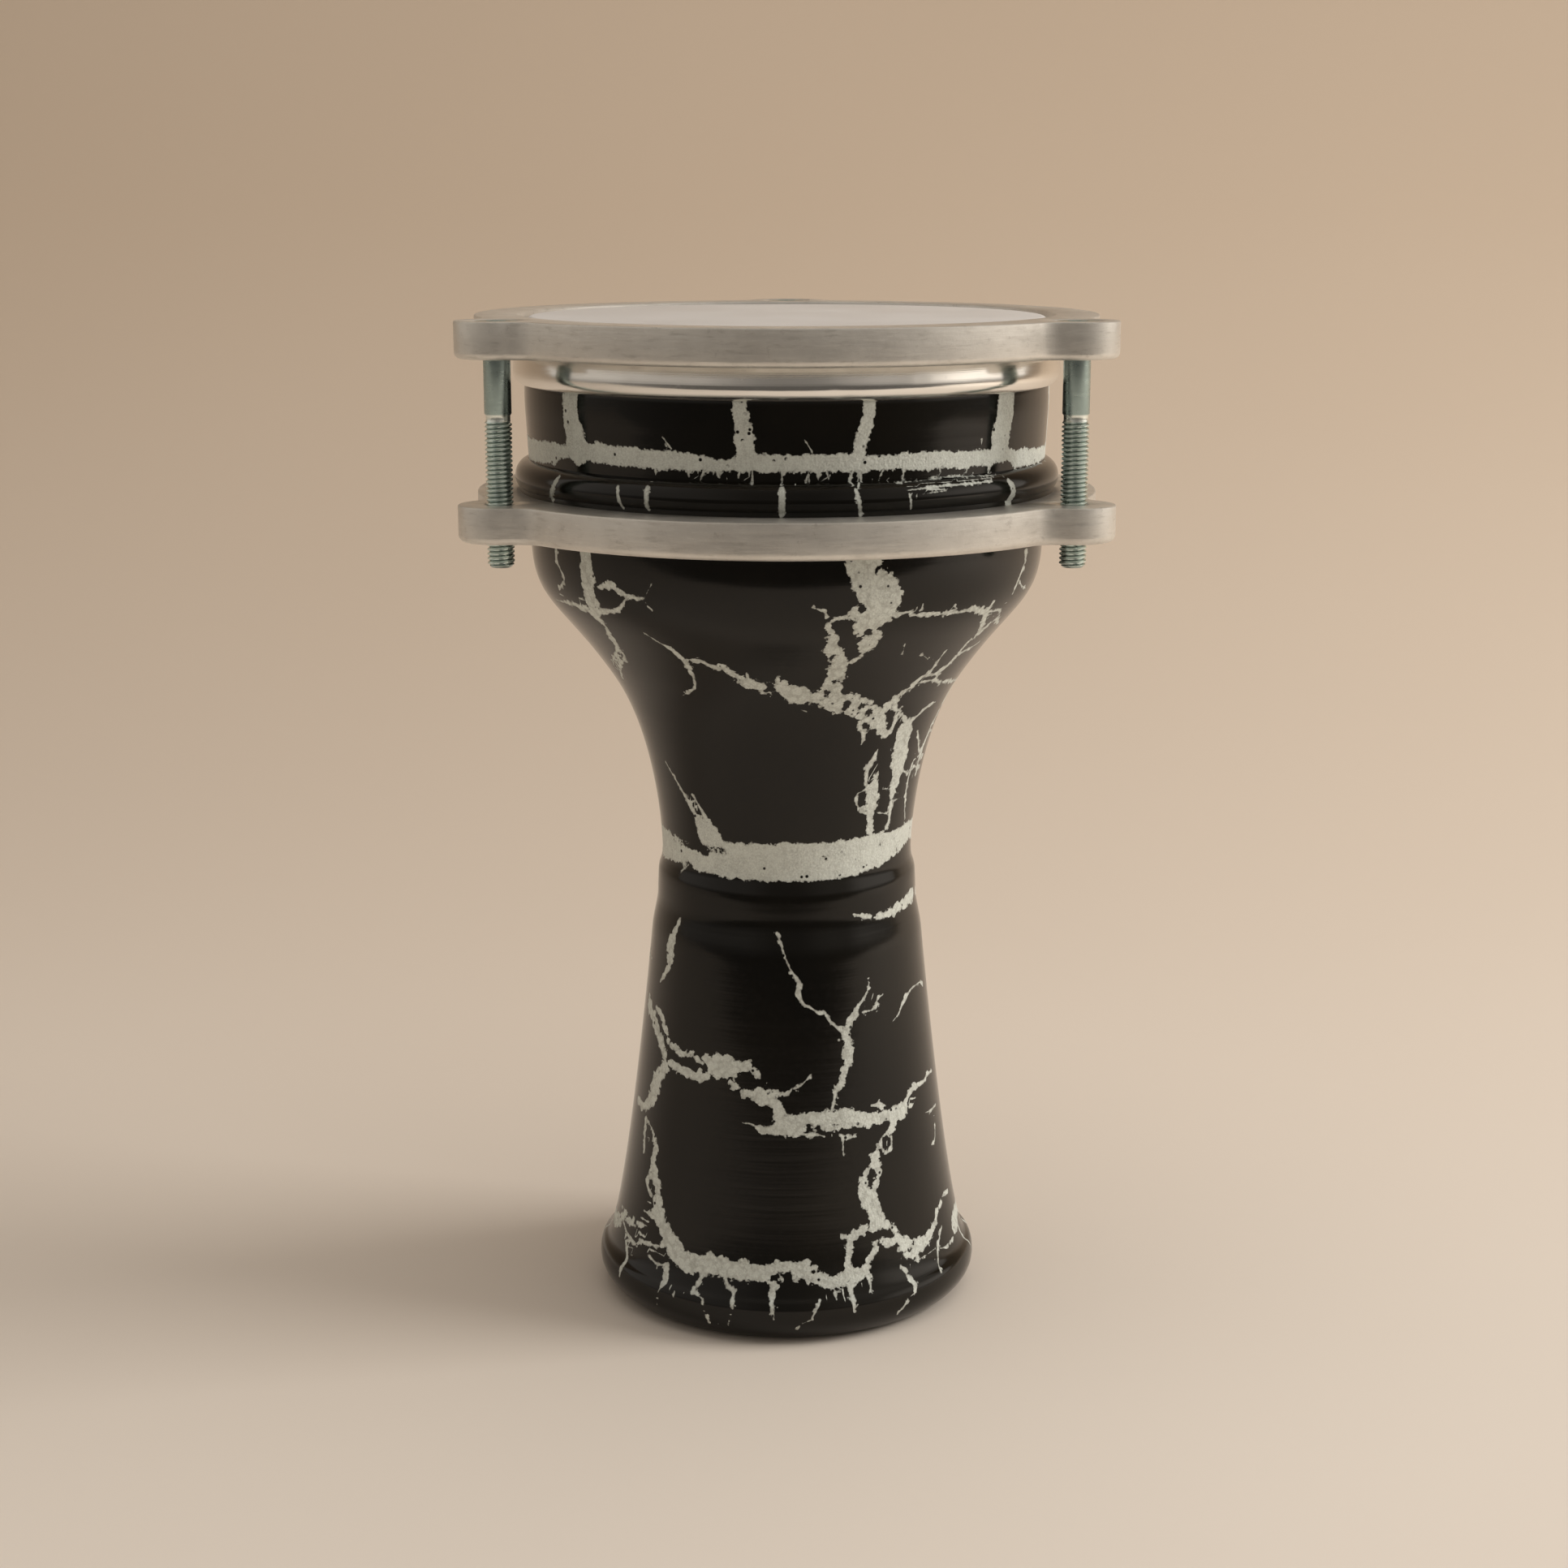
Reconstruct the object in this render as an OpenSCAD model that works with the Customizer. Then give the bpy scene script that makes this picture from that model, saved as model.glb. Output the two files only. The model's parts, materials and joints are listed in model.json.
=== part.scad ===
// Small goblet drum (darbuka): one cast aluminium shell, a synthetic head in its own hoop,
// and a tension ring pulled down on that hoop by three M6 screws.
// The origin is on the drum's axis where it meets the floor. +Z is up and -Y is the front.

/* [Shell] */
// Height of the tension ring's top above the floor
drum_h = 236.3; // [234:0.1:240]
// Outer radius of the bowl's straight wall
bowl_r = 59.9; // [59:0.1:60.2]
// Outer radius of the waist, the narrowest part of the shell
waist_r = 29.9; // [27:0.1:33]
// Height of the waist above the floor
waist_z = 110; // [106:0.5:114]
// Outer radius of the bead round the foot
foot_r = 46.2; // [45:0.1:48]
// Inner radius of the foot's mouth
foot_mouth_r = 37; // [36:0.1:38]
// Thickness of the cast wall
wall = 3.2; // [2.5:0.1:4]
// Outer radius of the bead that stops the lower ring
bead_r = 63.3; // [63:0.1:65]

/* [Rings] */
// Outer radius of the tension ring and of the lower ring
ring_r = 72; // [71:0.1:74]
// Height of each ring
ring_h = 8.2; // [7.6:0.1:9]
// Clear height between the two rings
ring_gap = 31.9; // [31:0.1:33]
// Inner radius of the tension ring
tension_bore_r = 61.9; // [61.6:0.1:62.1]
// Inner radius of the lower ring
lower_bore_r = 61; // [60.8:0.1:61.4]
// Radius of the circle that the screws stand on
screw_circle_r = 73.3; // [72:0.1:75]
// Radius of a lug round its screw
lug_r = 9.3; // [8.5:0.1:10.5]
// Radius of the hollow where a lug runs into its ring
lug_blend_r = 7; // [4:0.5:10]

/* [Screws] */
// Length of a screw under its head
screw_len = 50; // [49:0.5:52]
// Radius of a screw's shank and of its thread's crests
screw_r = 3; // [2.8:0.05:3]
// Pitch of the thread
pitch = 1; // [0.8:0.1:1.25]
// Length of the thread
thread_len = 32.4; // [28:0.1:34]
// Radius of a screw's head
head_r = 5; // [4.8:0.1:5.2]
// Height of a screw's head
head_h = 4; // [3.6:0.1:4.2]
// Width across the flats of the socket in a screw's head
socket_af = 4; // [3:0.5:4.5]
// Depth of that socket
socket_h = 2.3; // [1.5:0.1:2.6]
// Radius of the washer under a screw's head
washer_r = 5.5; // [5.2:0.1:5.5]
// Thickness of that washer
washer_h = 1.6; // [1:0.1:1.8]

/* [Head] */
// Outer radius of the head's playing surface and its collar
film_r = 60.1; // [60.1:0.05:60.3]
// Thickness of the film
film_t = 0.25; // [0.2:0.01:0.3]
// Depth of the playing surface below the tension ring's top
film_drop = 0.45; // [0.2:0.05:1]
// Outer radius of the head's hoop
hoop_r = 63.4; // [63.3:0.1:64]
// Height of the hoop
hoop_h = 7.7; // [7.5:0.1:8.2]
// Thickness of the hoop's sheet
hoop_t = 1.3; // [1:0.1:1.3]

/* [Hidden] */
$fn = 180;

// A hair's breadth that cutting tools pass a face by
over = 0.5;

// The three lugs stand a third of a turn apart
FRONT_LEFT = 210;
FRONT_RIGHT = 330;
BACK = 90;
LUGS = [FRONT_LEFT, FRONT_RIGHT, BACK]; // in the order that the rings' outline passes them

// Heights of what is stacked under the tension ring
tension_z = drum_h - ring_h;
lower_z = tension_z - ring_gap - ring_h;
shoulder_z = lower_z + ring_h;
hoop_z = tension_z - hoop_h;
film_z = drum_h - film_drop;
edge_z = film_z - film_t;

// The screw's head stands on its washer, in a counterbore in the lug
head_under_z = drum_h - 0.1 - head_h;
washer_z = head_under_z - washer_h;
counterbore_r = washer_r + 0.2;
lug_hole_r = screw_r + 0.3;
// The thread turns in the lower lug with this much air round its crests
thread_air = 0.05;

// Air between the film and what it passes: the shell's wall, the hoop's and the lock ring's
film_air = 0.1;
edge_r = film_r - film_t - film_air;
edge_round = 1.2;
edge_land = 0.9;
upper_r = bowl_r + 0.9;

// The bead and the shoulder under it, which the lower ring is drawn up against
bead_tube_r = 4;
bead_z = shoulder_z + 3.4;
shoulder_r = bead_r - 1;
shoulder_h = 1.3;

// The foot's bead
foot_flat_r = 39.5;
foot_bead_z = 7;
foot_top = [foot_r - 1.5, 11];

// The moulded collar under the waist
collar_z = waist_z - 20;
collar_r = waist_r + 2.7;
collar_step_r = waist_r + 1.1;

// Where the waist's curve turns into the bowl's, and its lean from upright there
flare = [waist_r + 11.3, waist_z + 42.4];
flare_lean = 34;

// The film's lock ring stands in the hoop with the film's edge outside it
hoop_wall_r = hoop_r - hoop_t;
hoop_bend_r = 3.2;
hoop_bore_r = upper_r + 0.4;
hoop_top_round = hoop_t / 2;
lock_z = hoop_z + hoop_bend_r;
lock_h = 3.4;
lock_w = 0.6;
lock_r = hoop_wall_r - film_t - 2 * film_air;

// A point of the curve from a to d that leaves a towards b and reaches d from c
function curve_point(a, b, c, d, t) =
  pow(1 - t, 3) * a + 3 * pow(1 - t, 2) * t * b + 3 * (1 - t) * t * t * c + pow(t, 3) * d;

// The curve in n equal steps, without its last point
function curve(a, b, c, d, n) = [for (i = [0 : n - 1]) curve_point(a, b, c, d, i / n)];

// An arc about c from angle a0 to angle a1, in n steps, with both ends
function arc(c, r, a0, a1, n) =
  [for (i = [0 : n]) let (a = a0 + (a1 - a0) * i / n) c + r * [cos(a), sin(a)]];

// The path moved sideways by d, to the left of the way it runs
function beside(path, d) = [
  for (i = [0 : len(path) - 1])
    let (last = path[max(i - 1, 0)])
    let (next = path[min(i + 1, len(path) - 1)])
    let (along = (next - last) / norm(next - last))
    path[i] + d * [-along[1], along[0]]
];

function backwards(path) = [for (i = [len(path) - 1 : -1 : 0]) path[i]];

// The shell's outside, from the floor up, as [radius, height]
function foot_bead() = concat(
  curve([foot_flat_r, 0], [foot_flat_r + 2.8, 0], [foot_r, 3.4], [foot_r, foot_bead_z], 8),
  curve([foot_r, foot_bead_z], [foot_r, 9], foot_top + [1.1, -0.4], foot_top, 6)
);

function foot_cone() = curve(
  foot_top,
  foot_top + [-3.8, 1.4],
  [collar_r + 1.9, collar_z - 20.3],
  [collar_r, collar_z],
  24
);

function waist_collar() = concat(
  curve(
    [collar_r, collar_z],
    [collar_r - 0.3, collar_z + 3],
    [collar_step_r + 0.3, collar_z + 6],
    [collar_step_r, collar_z + 9.5],
    6
  ),
  curve(
    [collar_step_r, collar_z + 13],
    [collar_step_r, collar_z + 17],
    [waist_r, waist_z - 4],
    [waist_r, waist_z],
    6
  )
);

function bowl() = concat(
  curve(
    [waist_r, waist_z],
    [waist_r, waist_z + 4],
    flare - 17.6 * [sin(flare_lean), cos(flare_lean)],
    flare,
    14
  ),
  curve(
    flare,
    flare + 22.8 * [sin(flare_lean), cos(flare_lean)],
    [bowl_r, lower_z - 18],
    [bowl_r, lower_z - 2],
    16
  )
);

function outer_wall() = [
  [bowl_r, lower_z - 2],
  [bowl_r, bead_z],
  [upper_r, hoop_z - 4],
  [upper_r, hoop_z + 0.4],
  [edge_r, hoop_z + 3.6]
];

function bearing_edge() = concat(
  arc([edge_r - edge_round, edge_z - edge_round], edge_round, 0, 90, 5),
  [
    [edge_r - edge_round - edge_land, edge_z],
    [bowl_r - wall, edge_z - 1.6]
  ]
);

// The shell's inside, from the foot's mouth up
function inner_wall() = concat(
  [[foot_mouth_r, 0.8], [foot_mouth_r, 24]],
  [for (p = beside(foot_cone(), wall)) if (p[0] < foot_mouth_r - 0.3 && p[1] > 24) p],
  beside(bowl(), wall),
  [[bowl_r - wall, lower_z - 2]]
);

module shell_wall_section() {
  outside = concat(foot_bead(), foot_cone(), waist_collar(), bowl(), outer_wall(), bearing_edge());
  polygon(concat([[foot_mouth_r + 0.8, 0]], outside, backwards(inner_wall())));
}

// The bead keeps its round top, and the shoulder under it gives the ring a flat face
module bead_section() {
  root_r = bowl_r - 1;
  intersection() {
    translate([bead_r - bead_tube_r, bead_z])
      circle(bead_tube_r);
    translate([root_r, shoulder_z + shoulder_h - 0.2])
      square([bead_r, bead_tube_r * 2]);
  }
  translate([root_r, shoulder_z])
    square([shoulder_r - root_r, shoulder_h]);
}

module cast_shell() {
  color("#17150f")
    rotate_extrude()
      union() {
        shell_wall_section();
        bead_section();
      }
}

// The ring's outline about one lug, which lies along +X: half the plain rim before it,
// the hollow that leads out to it, its round end, the hollow back and half the rim after it
function lug_outline() =
  let (to_hollow = ring_r + lug_blend_r)
  let (lug_to_hollow = lug_r + lug_blend_r)
  let (swing = acos(
    (pow(to_hollow, 2) + pow(screw_circle_r, 2) - pow(lug_to_hollow, 2))
    / (2 * to_hollow * screw_circle_r)
  ))
  let (before = to_hollow * [cos(swing), -sin(swing)])
  let (after = to_hollow * [cos(swing), sin(swing)])
  let (turn = atan2(-before[1], screw_circle_r - before[0]))
  concat(
    arc([0, 0], ring_r, -60, -swing, 20),
    without_first(arc(before, lug_blend_r, 180 - swing, turn, 6)),
    without_first(arc([screw_circle_r, 0], lug_r, turn - 180, 180 - turn, 18)),
    without_first(arc(after, lug_blend_r, -turn, swing - 180, 6)),
    without_first(arc([0, 0], ring_r, swing, 60, 20))
  );

function without_first(path) = [for (i = [1 : len(path) - 1]) path[i]];

function turned(p, a) = [p[0] * cos(a) - p[1] * sin(a), p[0] * sin(a) + p[1] * cos(a)];

// A ring with its three lugs and no holes yet, its underside at z = 0
module ring_blank() {
  linear_extrude(ring_h)
    polygon([for (a = LUGS) each [for (p = without_first(lug_outline())) turned(p, a)]]);
}

// A hole through every lug, from height z up
module lug_holes(r, z) {
  for (a = LUGS) {
    rotate(a)
      translate([screw_circle_r, 0, z])
        cylinder(h = ring_h + 2 * over, r = r, $fn = 64);
  }
}

module lower_ring() {
  color("#a39c94")
    translate([0, 0, lower_z])
      difference() {
        ring_blank();
        translate([0, 0, -over])
          cylinder(h = ring_h + 2 * over, r = lower_bore_r);
        lug_holes(screw_r + thread_air, -over);
      }
}

module tension_ring() {
  color("#a39c94")
    translate([0, 0, tension_z])
      difference() {
        ring_blank();
        translate([0, 0, -over])
          cylinder(h = ring_h + 2 * over, r = tension_bore_r);
        lug_holes(lug_hole_r, -over);
        lug_holes(counterbore_r, washer_z - tension_z);
      }
}

// The film's upper side: flat, over the bearing edge, down the collar and out into the hoop
function film_path() = concat(
  [[0, film_z]],
  backwards(arc([film_r - edge_round - film_t, film_z - edge_round - film_t], edge_round + film_t, 0, 90, 6)),
  [
    [film_r, tension_z + 1.7],
    [hoop_wall_r - film_air, lock_z + lock_h + 0.3],
    [hoop_wall_r - film_air, lock_z]
  ]
);

module head_membrane() {
  color("#cfc8bd")
    rotate_extrude()
      polygon(concat(film_path(), backwards(beside(film_path(), -film_t))));
}

// Sheet aluminium, rolled over at the top and turned in under the film's edge
module hoop_section() {
  wall_h = hoop_h - hoop_bend_r;
  translate([hoop_wall_r, lock_z]) {
    square([hoop_t - hoop_top_round, wall_h]);
    square([hoop_t, wall_h - hoop_top_round]);
  }
  translate([hoop_r - hoop_top_round, hoop_z + hoop_h - hoop_top_round])
    circle(hoop_top_round);
  intersection() {
    translate([hoop_r - hoop_bend_r, lock_z])
      difference() {
        circle(hoop_bend_r);
        circle(hoop_bend_r - hoop_t);
      }
    translate([hoop_bore_r, hoop_z])
      square([hoop_r - hoop_bore_r, hoop_bend_r]);
  }
}

module head_hoop() {
  color("#c9c8c2")
    rotate_extrude()
      hoop_section();
}

module film_lock_ring() {
  color("#8c8f90")
    rotate_extrude()
      translate([lock_r - lock_w, lock_z])
        square([lock_w, lock_h]);
}

// The thread's flanks as rings, up from the screw's tip, as [radius, height above the tip]
function thread_section() = let (root_r = screw_r - 0.61 * pitch) concat(
  [[0, 0], [root_r - 0.1, 0]],
  [
    for (i = [0 : floor((thread_len - 1.6) / pitch) - 1])
      let (z = i * pitch)
      each [
        [root_r, z + pitch * 0.12],
        [screw_r - (i == 0 ? 0.25 : 0), z + pitch * 0.44],
        [screw_r - (i == 0 ? 0.25 : 0), z + pitch * 0.56],
        [root_r, z + pitch * 0.88]
      ]
  ],
  [[screw_r - 0.3, thread_len - 1.6], [screw_r - 0.3, thread_len - 0.3], [screw_r, thread_len]],
  [[screw_r, screw_len], [0, screw_len]]
);

// A low-head socket screw, in the lug at angle a
module screw(a) {
  color("#8fa39c")
    rotate(a)
      translate([screw_circle_r, 0, head_under_z - screw_len]) {
        rotate_extrude($fn = 64)
          polygon(thread_section());
        translate([0, 0, screw_len])
          difference() {
            rotate_extrude($fn = 64)
              polygon([
                [0, 0],
                [head_r, 0],
                [head_r, head_h - 0.4],
                [head_r - 0.4, head_h],
                [0, head_h]
              ]);
            translate([0, 0, head_h - socket_h])
              cylinder(h = socket_h + over, d = socket_af / cos(30), $fn = 6);
          }
      }
}

// The washer under the head of the screw at angle a
module washer(a) {
  color("#b9bcb6")
    rotate(a)
      translate([screw_circle_r, 0, washer_z])
        difference() {
          cylinder(h = washer_h, r = washer_r, $fn = 64);
          translate([0, 0, -over])
            cylinder(h = washer_h + 2 * over, r = lug_hole_r - 0.1, $fn = 64);
        }
}

cast_shell();
lower_ring();
tension_ring();
head_membrane();
head_hoop();
film_lock_ring();
screw(FRONT_LEFT);  // screw_front_left
screw(FRONT_RIGHT);  // screw_front_right
screw(BACK);  // screw_back
washer(FRONT_LEFT);  // washer_front_left
washer(FRONT_RIGHT);  // washer_front_right
washer(BACK);  // washer_back
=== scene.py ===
import json
import math
import random

import bpy
import numpy as np
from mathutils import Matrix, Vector


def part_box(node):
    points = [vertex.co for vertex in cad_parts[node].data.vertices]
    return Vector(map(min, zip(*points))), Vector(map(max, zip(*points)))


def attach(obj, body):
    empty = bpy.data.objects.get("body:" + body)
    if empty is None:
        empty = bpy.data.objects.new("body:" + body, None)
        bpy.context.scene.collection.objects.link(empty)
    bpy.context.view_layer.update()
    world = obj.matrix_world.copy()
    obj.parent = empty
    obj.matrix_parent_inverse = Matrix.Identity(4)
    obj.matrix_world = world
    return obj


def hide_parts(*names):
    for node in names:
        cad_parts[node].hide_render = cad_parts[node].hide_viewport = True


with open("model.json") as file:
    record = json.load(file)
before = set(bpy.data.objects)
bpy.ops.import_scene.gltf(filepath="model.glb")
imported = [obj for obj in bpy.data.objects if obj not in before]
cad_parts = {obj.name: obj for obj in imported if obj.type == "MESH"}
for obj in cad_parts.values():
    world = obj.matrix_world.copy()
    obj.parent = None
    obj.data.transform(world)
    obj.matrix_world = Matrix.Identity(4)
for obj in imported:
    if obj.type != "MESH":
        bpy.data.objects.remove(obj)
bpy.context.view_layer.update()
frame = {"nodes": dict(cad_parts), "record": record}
MM = 0.001
TOUCHING = 1e-6

# ---- positions read from the frame
JOINTS = {joint["name"]: joint for joint in frame["record"]["behaviour"]["joints"]}
SCREW_NAMES = ["screw_front_left", "screw_front_right", "screw_back"]
SCREWS = {name: JOINTS[name + "_turn"]["pos_m"] for name in SCREW_NAMES}


def heights(node):
    """The lowest and highest z of a CAD node."""
    low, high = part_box(node)
    return low[2], high[2]


def world_points(node):
    """A CAD node's vertices in the row frame."""
    obj = frame["nodes"][node]
    return [obj.matrix_world @ vertex.co for vertex in obj.data.vertices]


# ---- mesh helpers
def shade(mesh, sharp_angle):
    """Smooth shading with sharp edges above an angle in degrees."""
    mesh.polygons.foreach_set("use_smooth", [True] * len(mesh.polygons))
    mesh.set_sharp_from_angle(angle=math.radians(sharp_angle))


def mesh_object(name, points, faces, sharp_angle=35):
    """A smooth-shaded object from points and faces."""
    mesh = bpy.data.meshes.new(name)
    mesh.from_pydata(points, [], faces)
    shade(mesh, sharp_angle)
    obj = bpy.data.objects.new(name, mesh)
    bpy.context.scene.collection.objects.link(obj)
    return obj


def loft(rows, closed=False):
    """Points and quads through rows of equally many points, each row a closed ring."""
    count = len(rows[0])
    points = [point for row in rows for point in row]
    faces = []
    pairs = [(i, i + 1) for i in range(len(rows) - 1)]
    if closed:
        pairs.append((len(rows) - 1, 0))
    for low, high in pairs:
        for k in range(count):
            n = (k + 1) % count
            faces.append((low * count + k, low * count + n, high * count + n, high * count + k))
    return points, faces


def capped_loft(rows):
    """A loft with a face over each end."""
    points, faces = loft(rows)
    count = len(rows[0])
    faces.append(tuple(range(count))[::-1])
    faces.append(tuple(range(len(points) - count, len(points))))
    return points, faces


def moved(points, place):
    """The points shifted in x and y to a screw's place."""
    return [(x + place[0], y + place[1], z) for x, y, z in points]


def store(obj, name, kind, field, values):
    """A value at each vertex for the materials to read."""
    obj.data.attributes.new(name, kind, "POINT").data.foreach_set(field, values)


def polar(radius, turn):
    """The x and y of a point at an angle from +X."""
    return radius * math.cos(turn), radius * math.sin(turn)


def circle_row(radius, height, steps):
    """One ring of points about the drum's axis, counter-clockwise from +X."""
    return [(*polar(radius, 2 * math.pi * k / steps), height) for k in range(steps)]


def seam_loop(node):
    """The CAD node's outline in the half plane y = 0, x > 0: (r, z) in order, from its lowest point."""
    obj = frame["nodes"][node]
    points = world_points(node)
    links = {}
    for edge in obj.data.edges:
        a, b = (points[i] for i in edge.vertices)
        if max(abs(a.y), abs(b.y)) > TOUCHING or min(a.x, b.x) < 0:
            continue
        key_a = (round(a.x, 6), round(a.z, 6))
        key_b = (round(b.x, 6), round(b.z, 6))
        if key_a != key_b:
            links.setdefault(key_a, set()).add(key_b)
            links.setdefault(key_b, set()).add(key_a)
    ends = [key for key in links if len(links[key]) == 1]
    start = min(ends) if ends else max(links, key=lambda key: (-key[1], key[0]))
    path = [start]
    here = max(links[start], key=lambda key: key[0])
    while here != start:
        path.append(here)
        onward = [key for key in links[here] if key != path[-2]]
        if not onward:
            break
        here = onward[0]
    return path


def smooth_path(path, step, closed):
    """The path with points about one step apart, curved between its corners and exact at them."""
    corner = 18
    points = [Vector((r, z)) for r, z in path]
    count = len(points)

    def at(i):
        return points[i % count] if closed else points[max(0, min(count - 1, i))]

    def is_corner(i):
        before = at(i) - at(i - 1)
        after = at(i + 1) - at(i)
        if not before.length or not after.length:
            return True
        return math.degrees(before.angle(after)) > corner

    result = []
    for i in range(count if closed else count - 1):
        a, b = at(i), at(i + 1)
        length = (b - a).length
        pieces = max(1, round(length / step))
        into = (b - a) / length
        out = into
        if not is_corner(i):
            into = ((a - at(i - 1)).normalized() + (b - a).normalized()).normalized()
        if not is_corner(i + 1):
            out = ((b - a).normalized() + (at(i + 2) - b).normalized()).normalized()
        for k in range(pieces):
            t = k / pieces
            h = [2 * t**3 - 3 * t**2 + 1, t**3 - 2 * t**2 + t, -2 * t**3 + 3 * t**2, t**3 - t**2]
            spot = a * h[0] + into * (length * h[1]) + b * h[2] + out * (length * h[3])
            result.append((spot.x, spot.y))
    if not closed:
        result.append(tuple(points[-1]))
    return result


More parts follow.
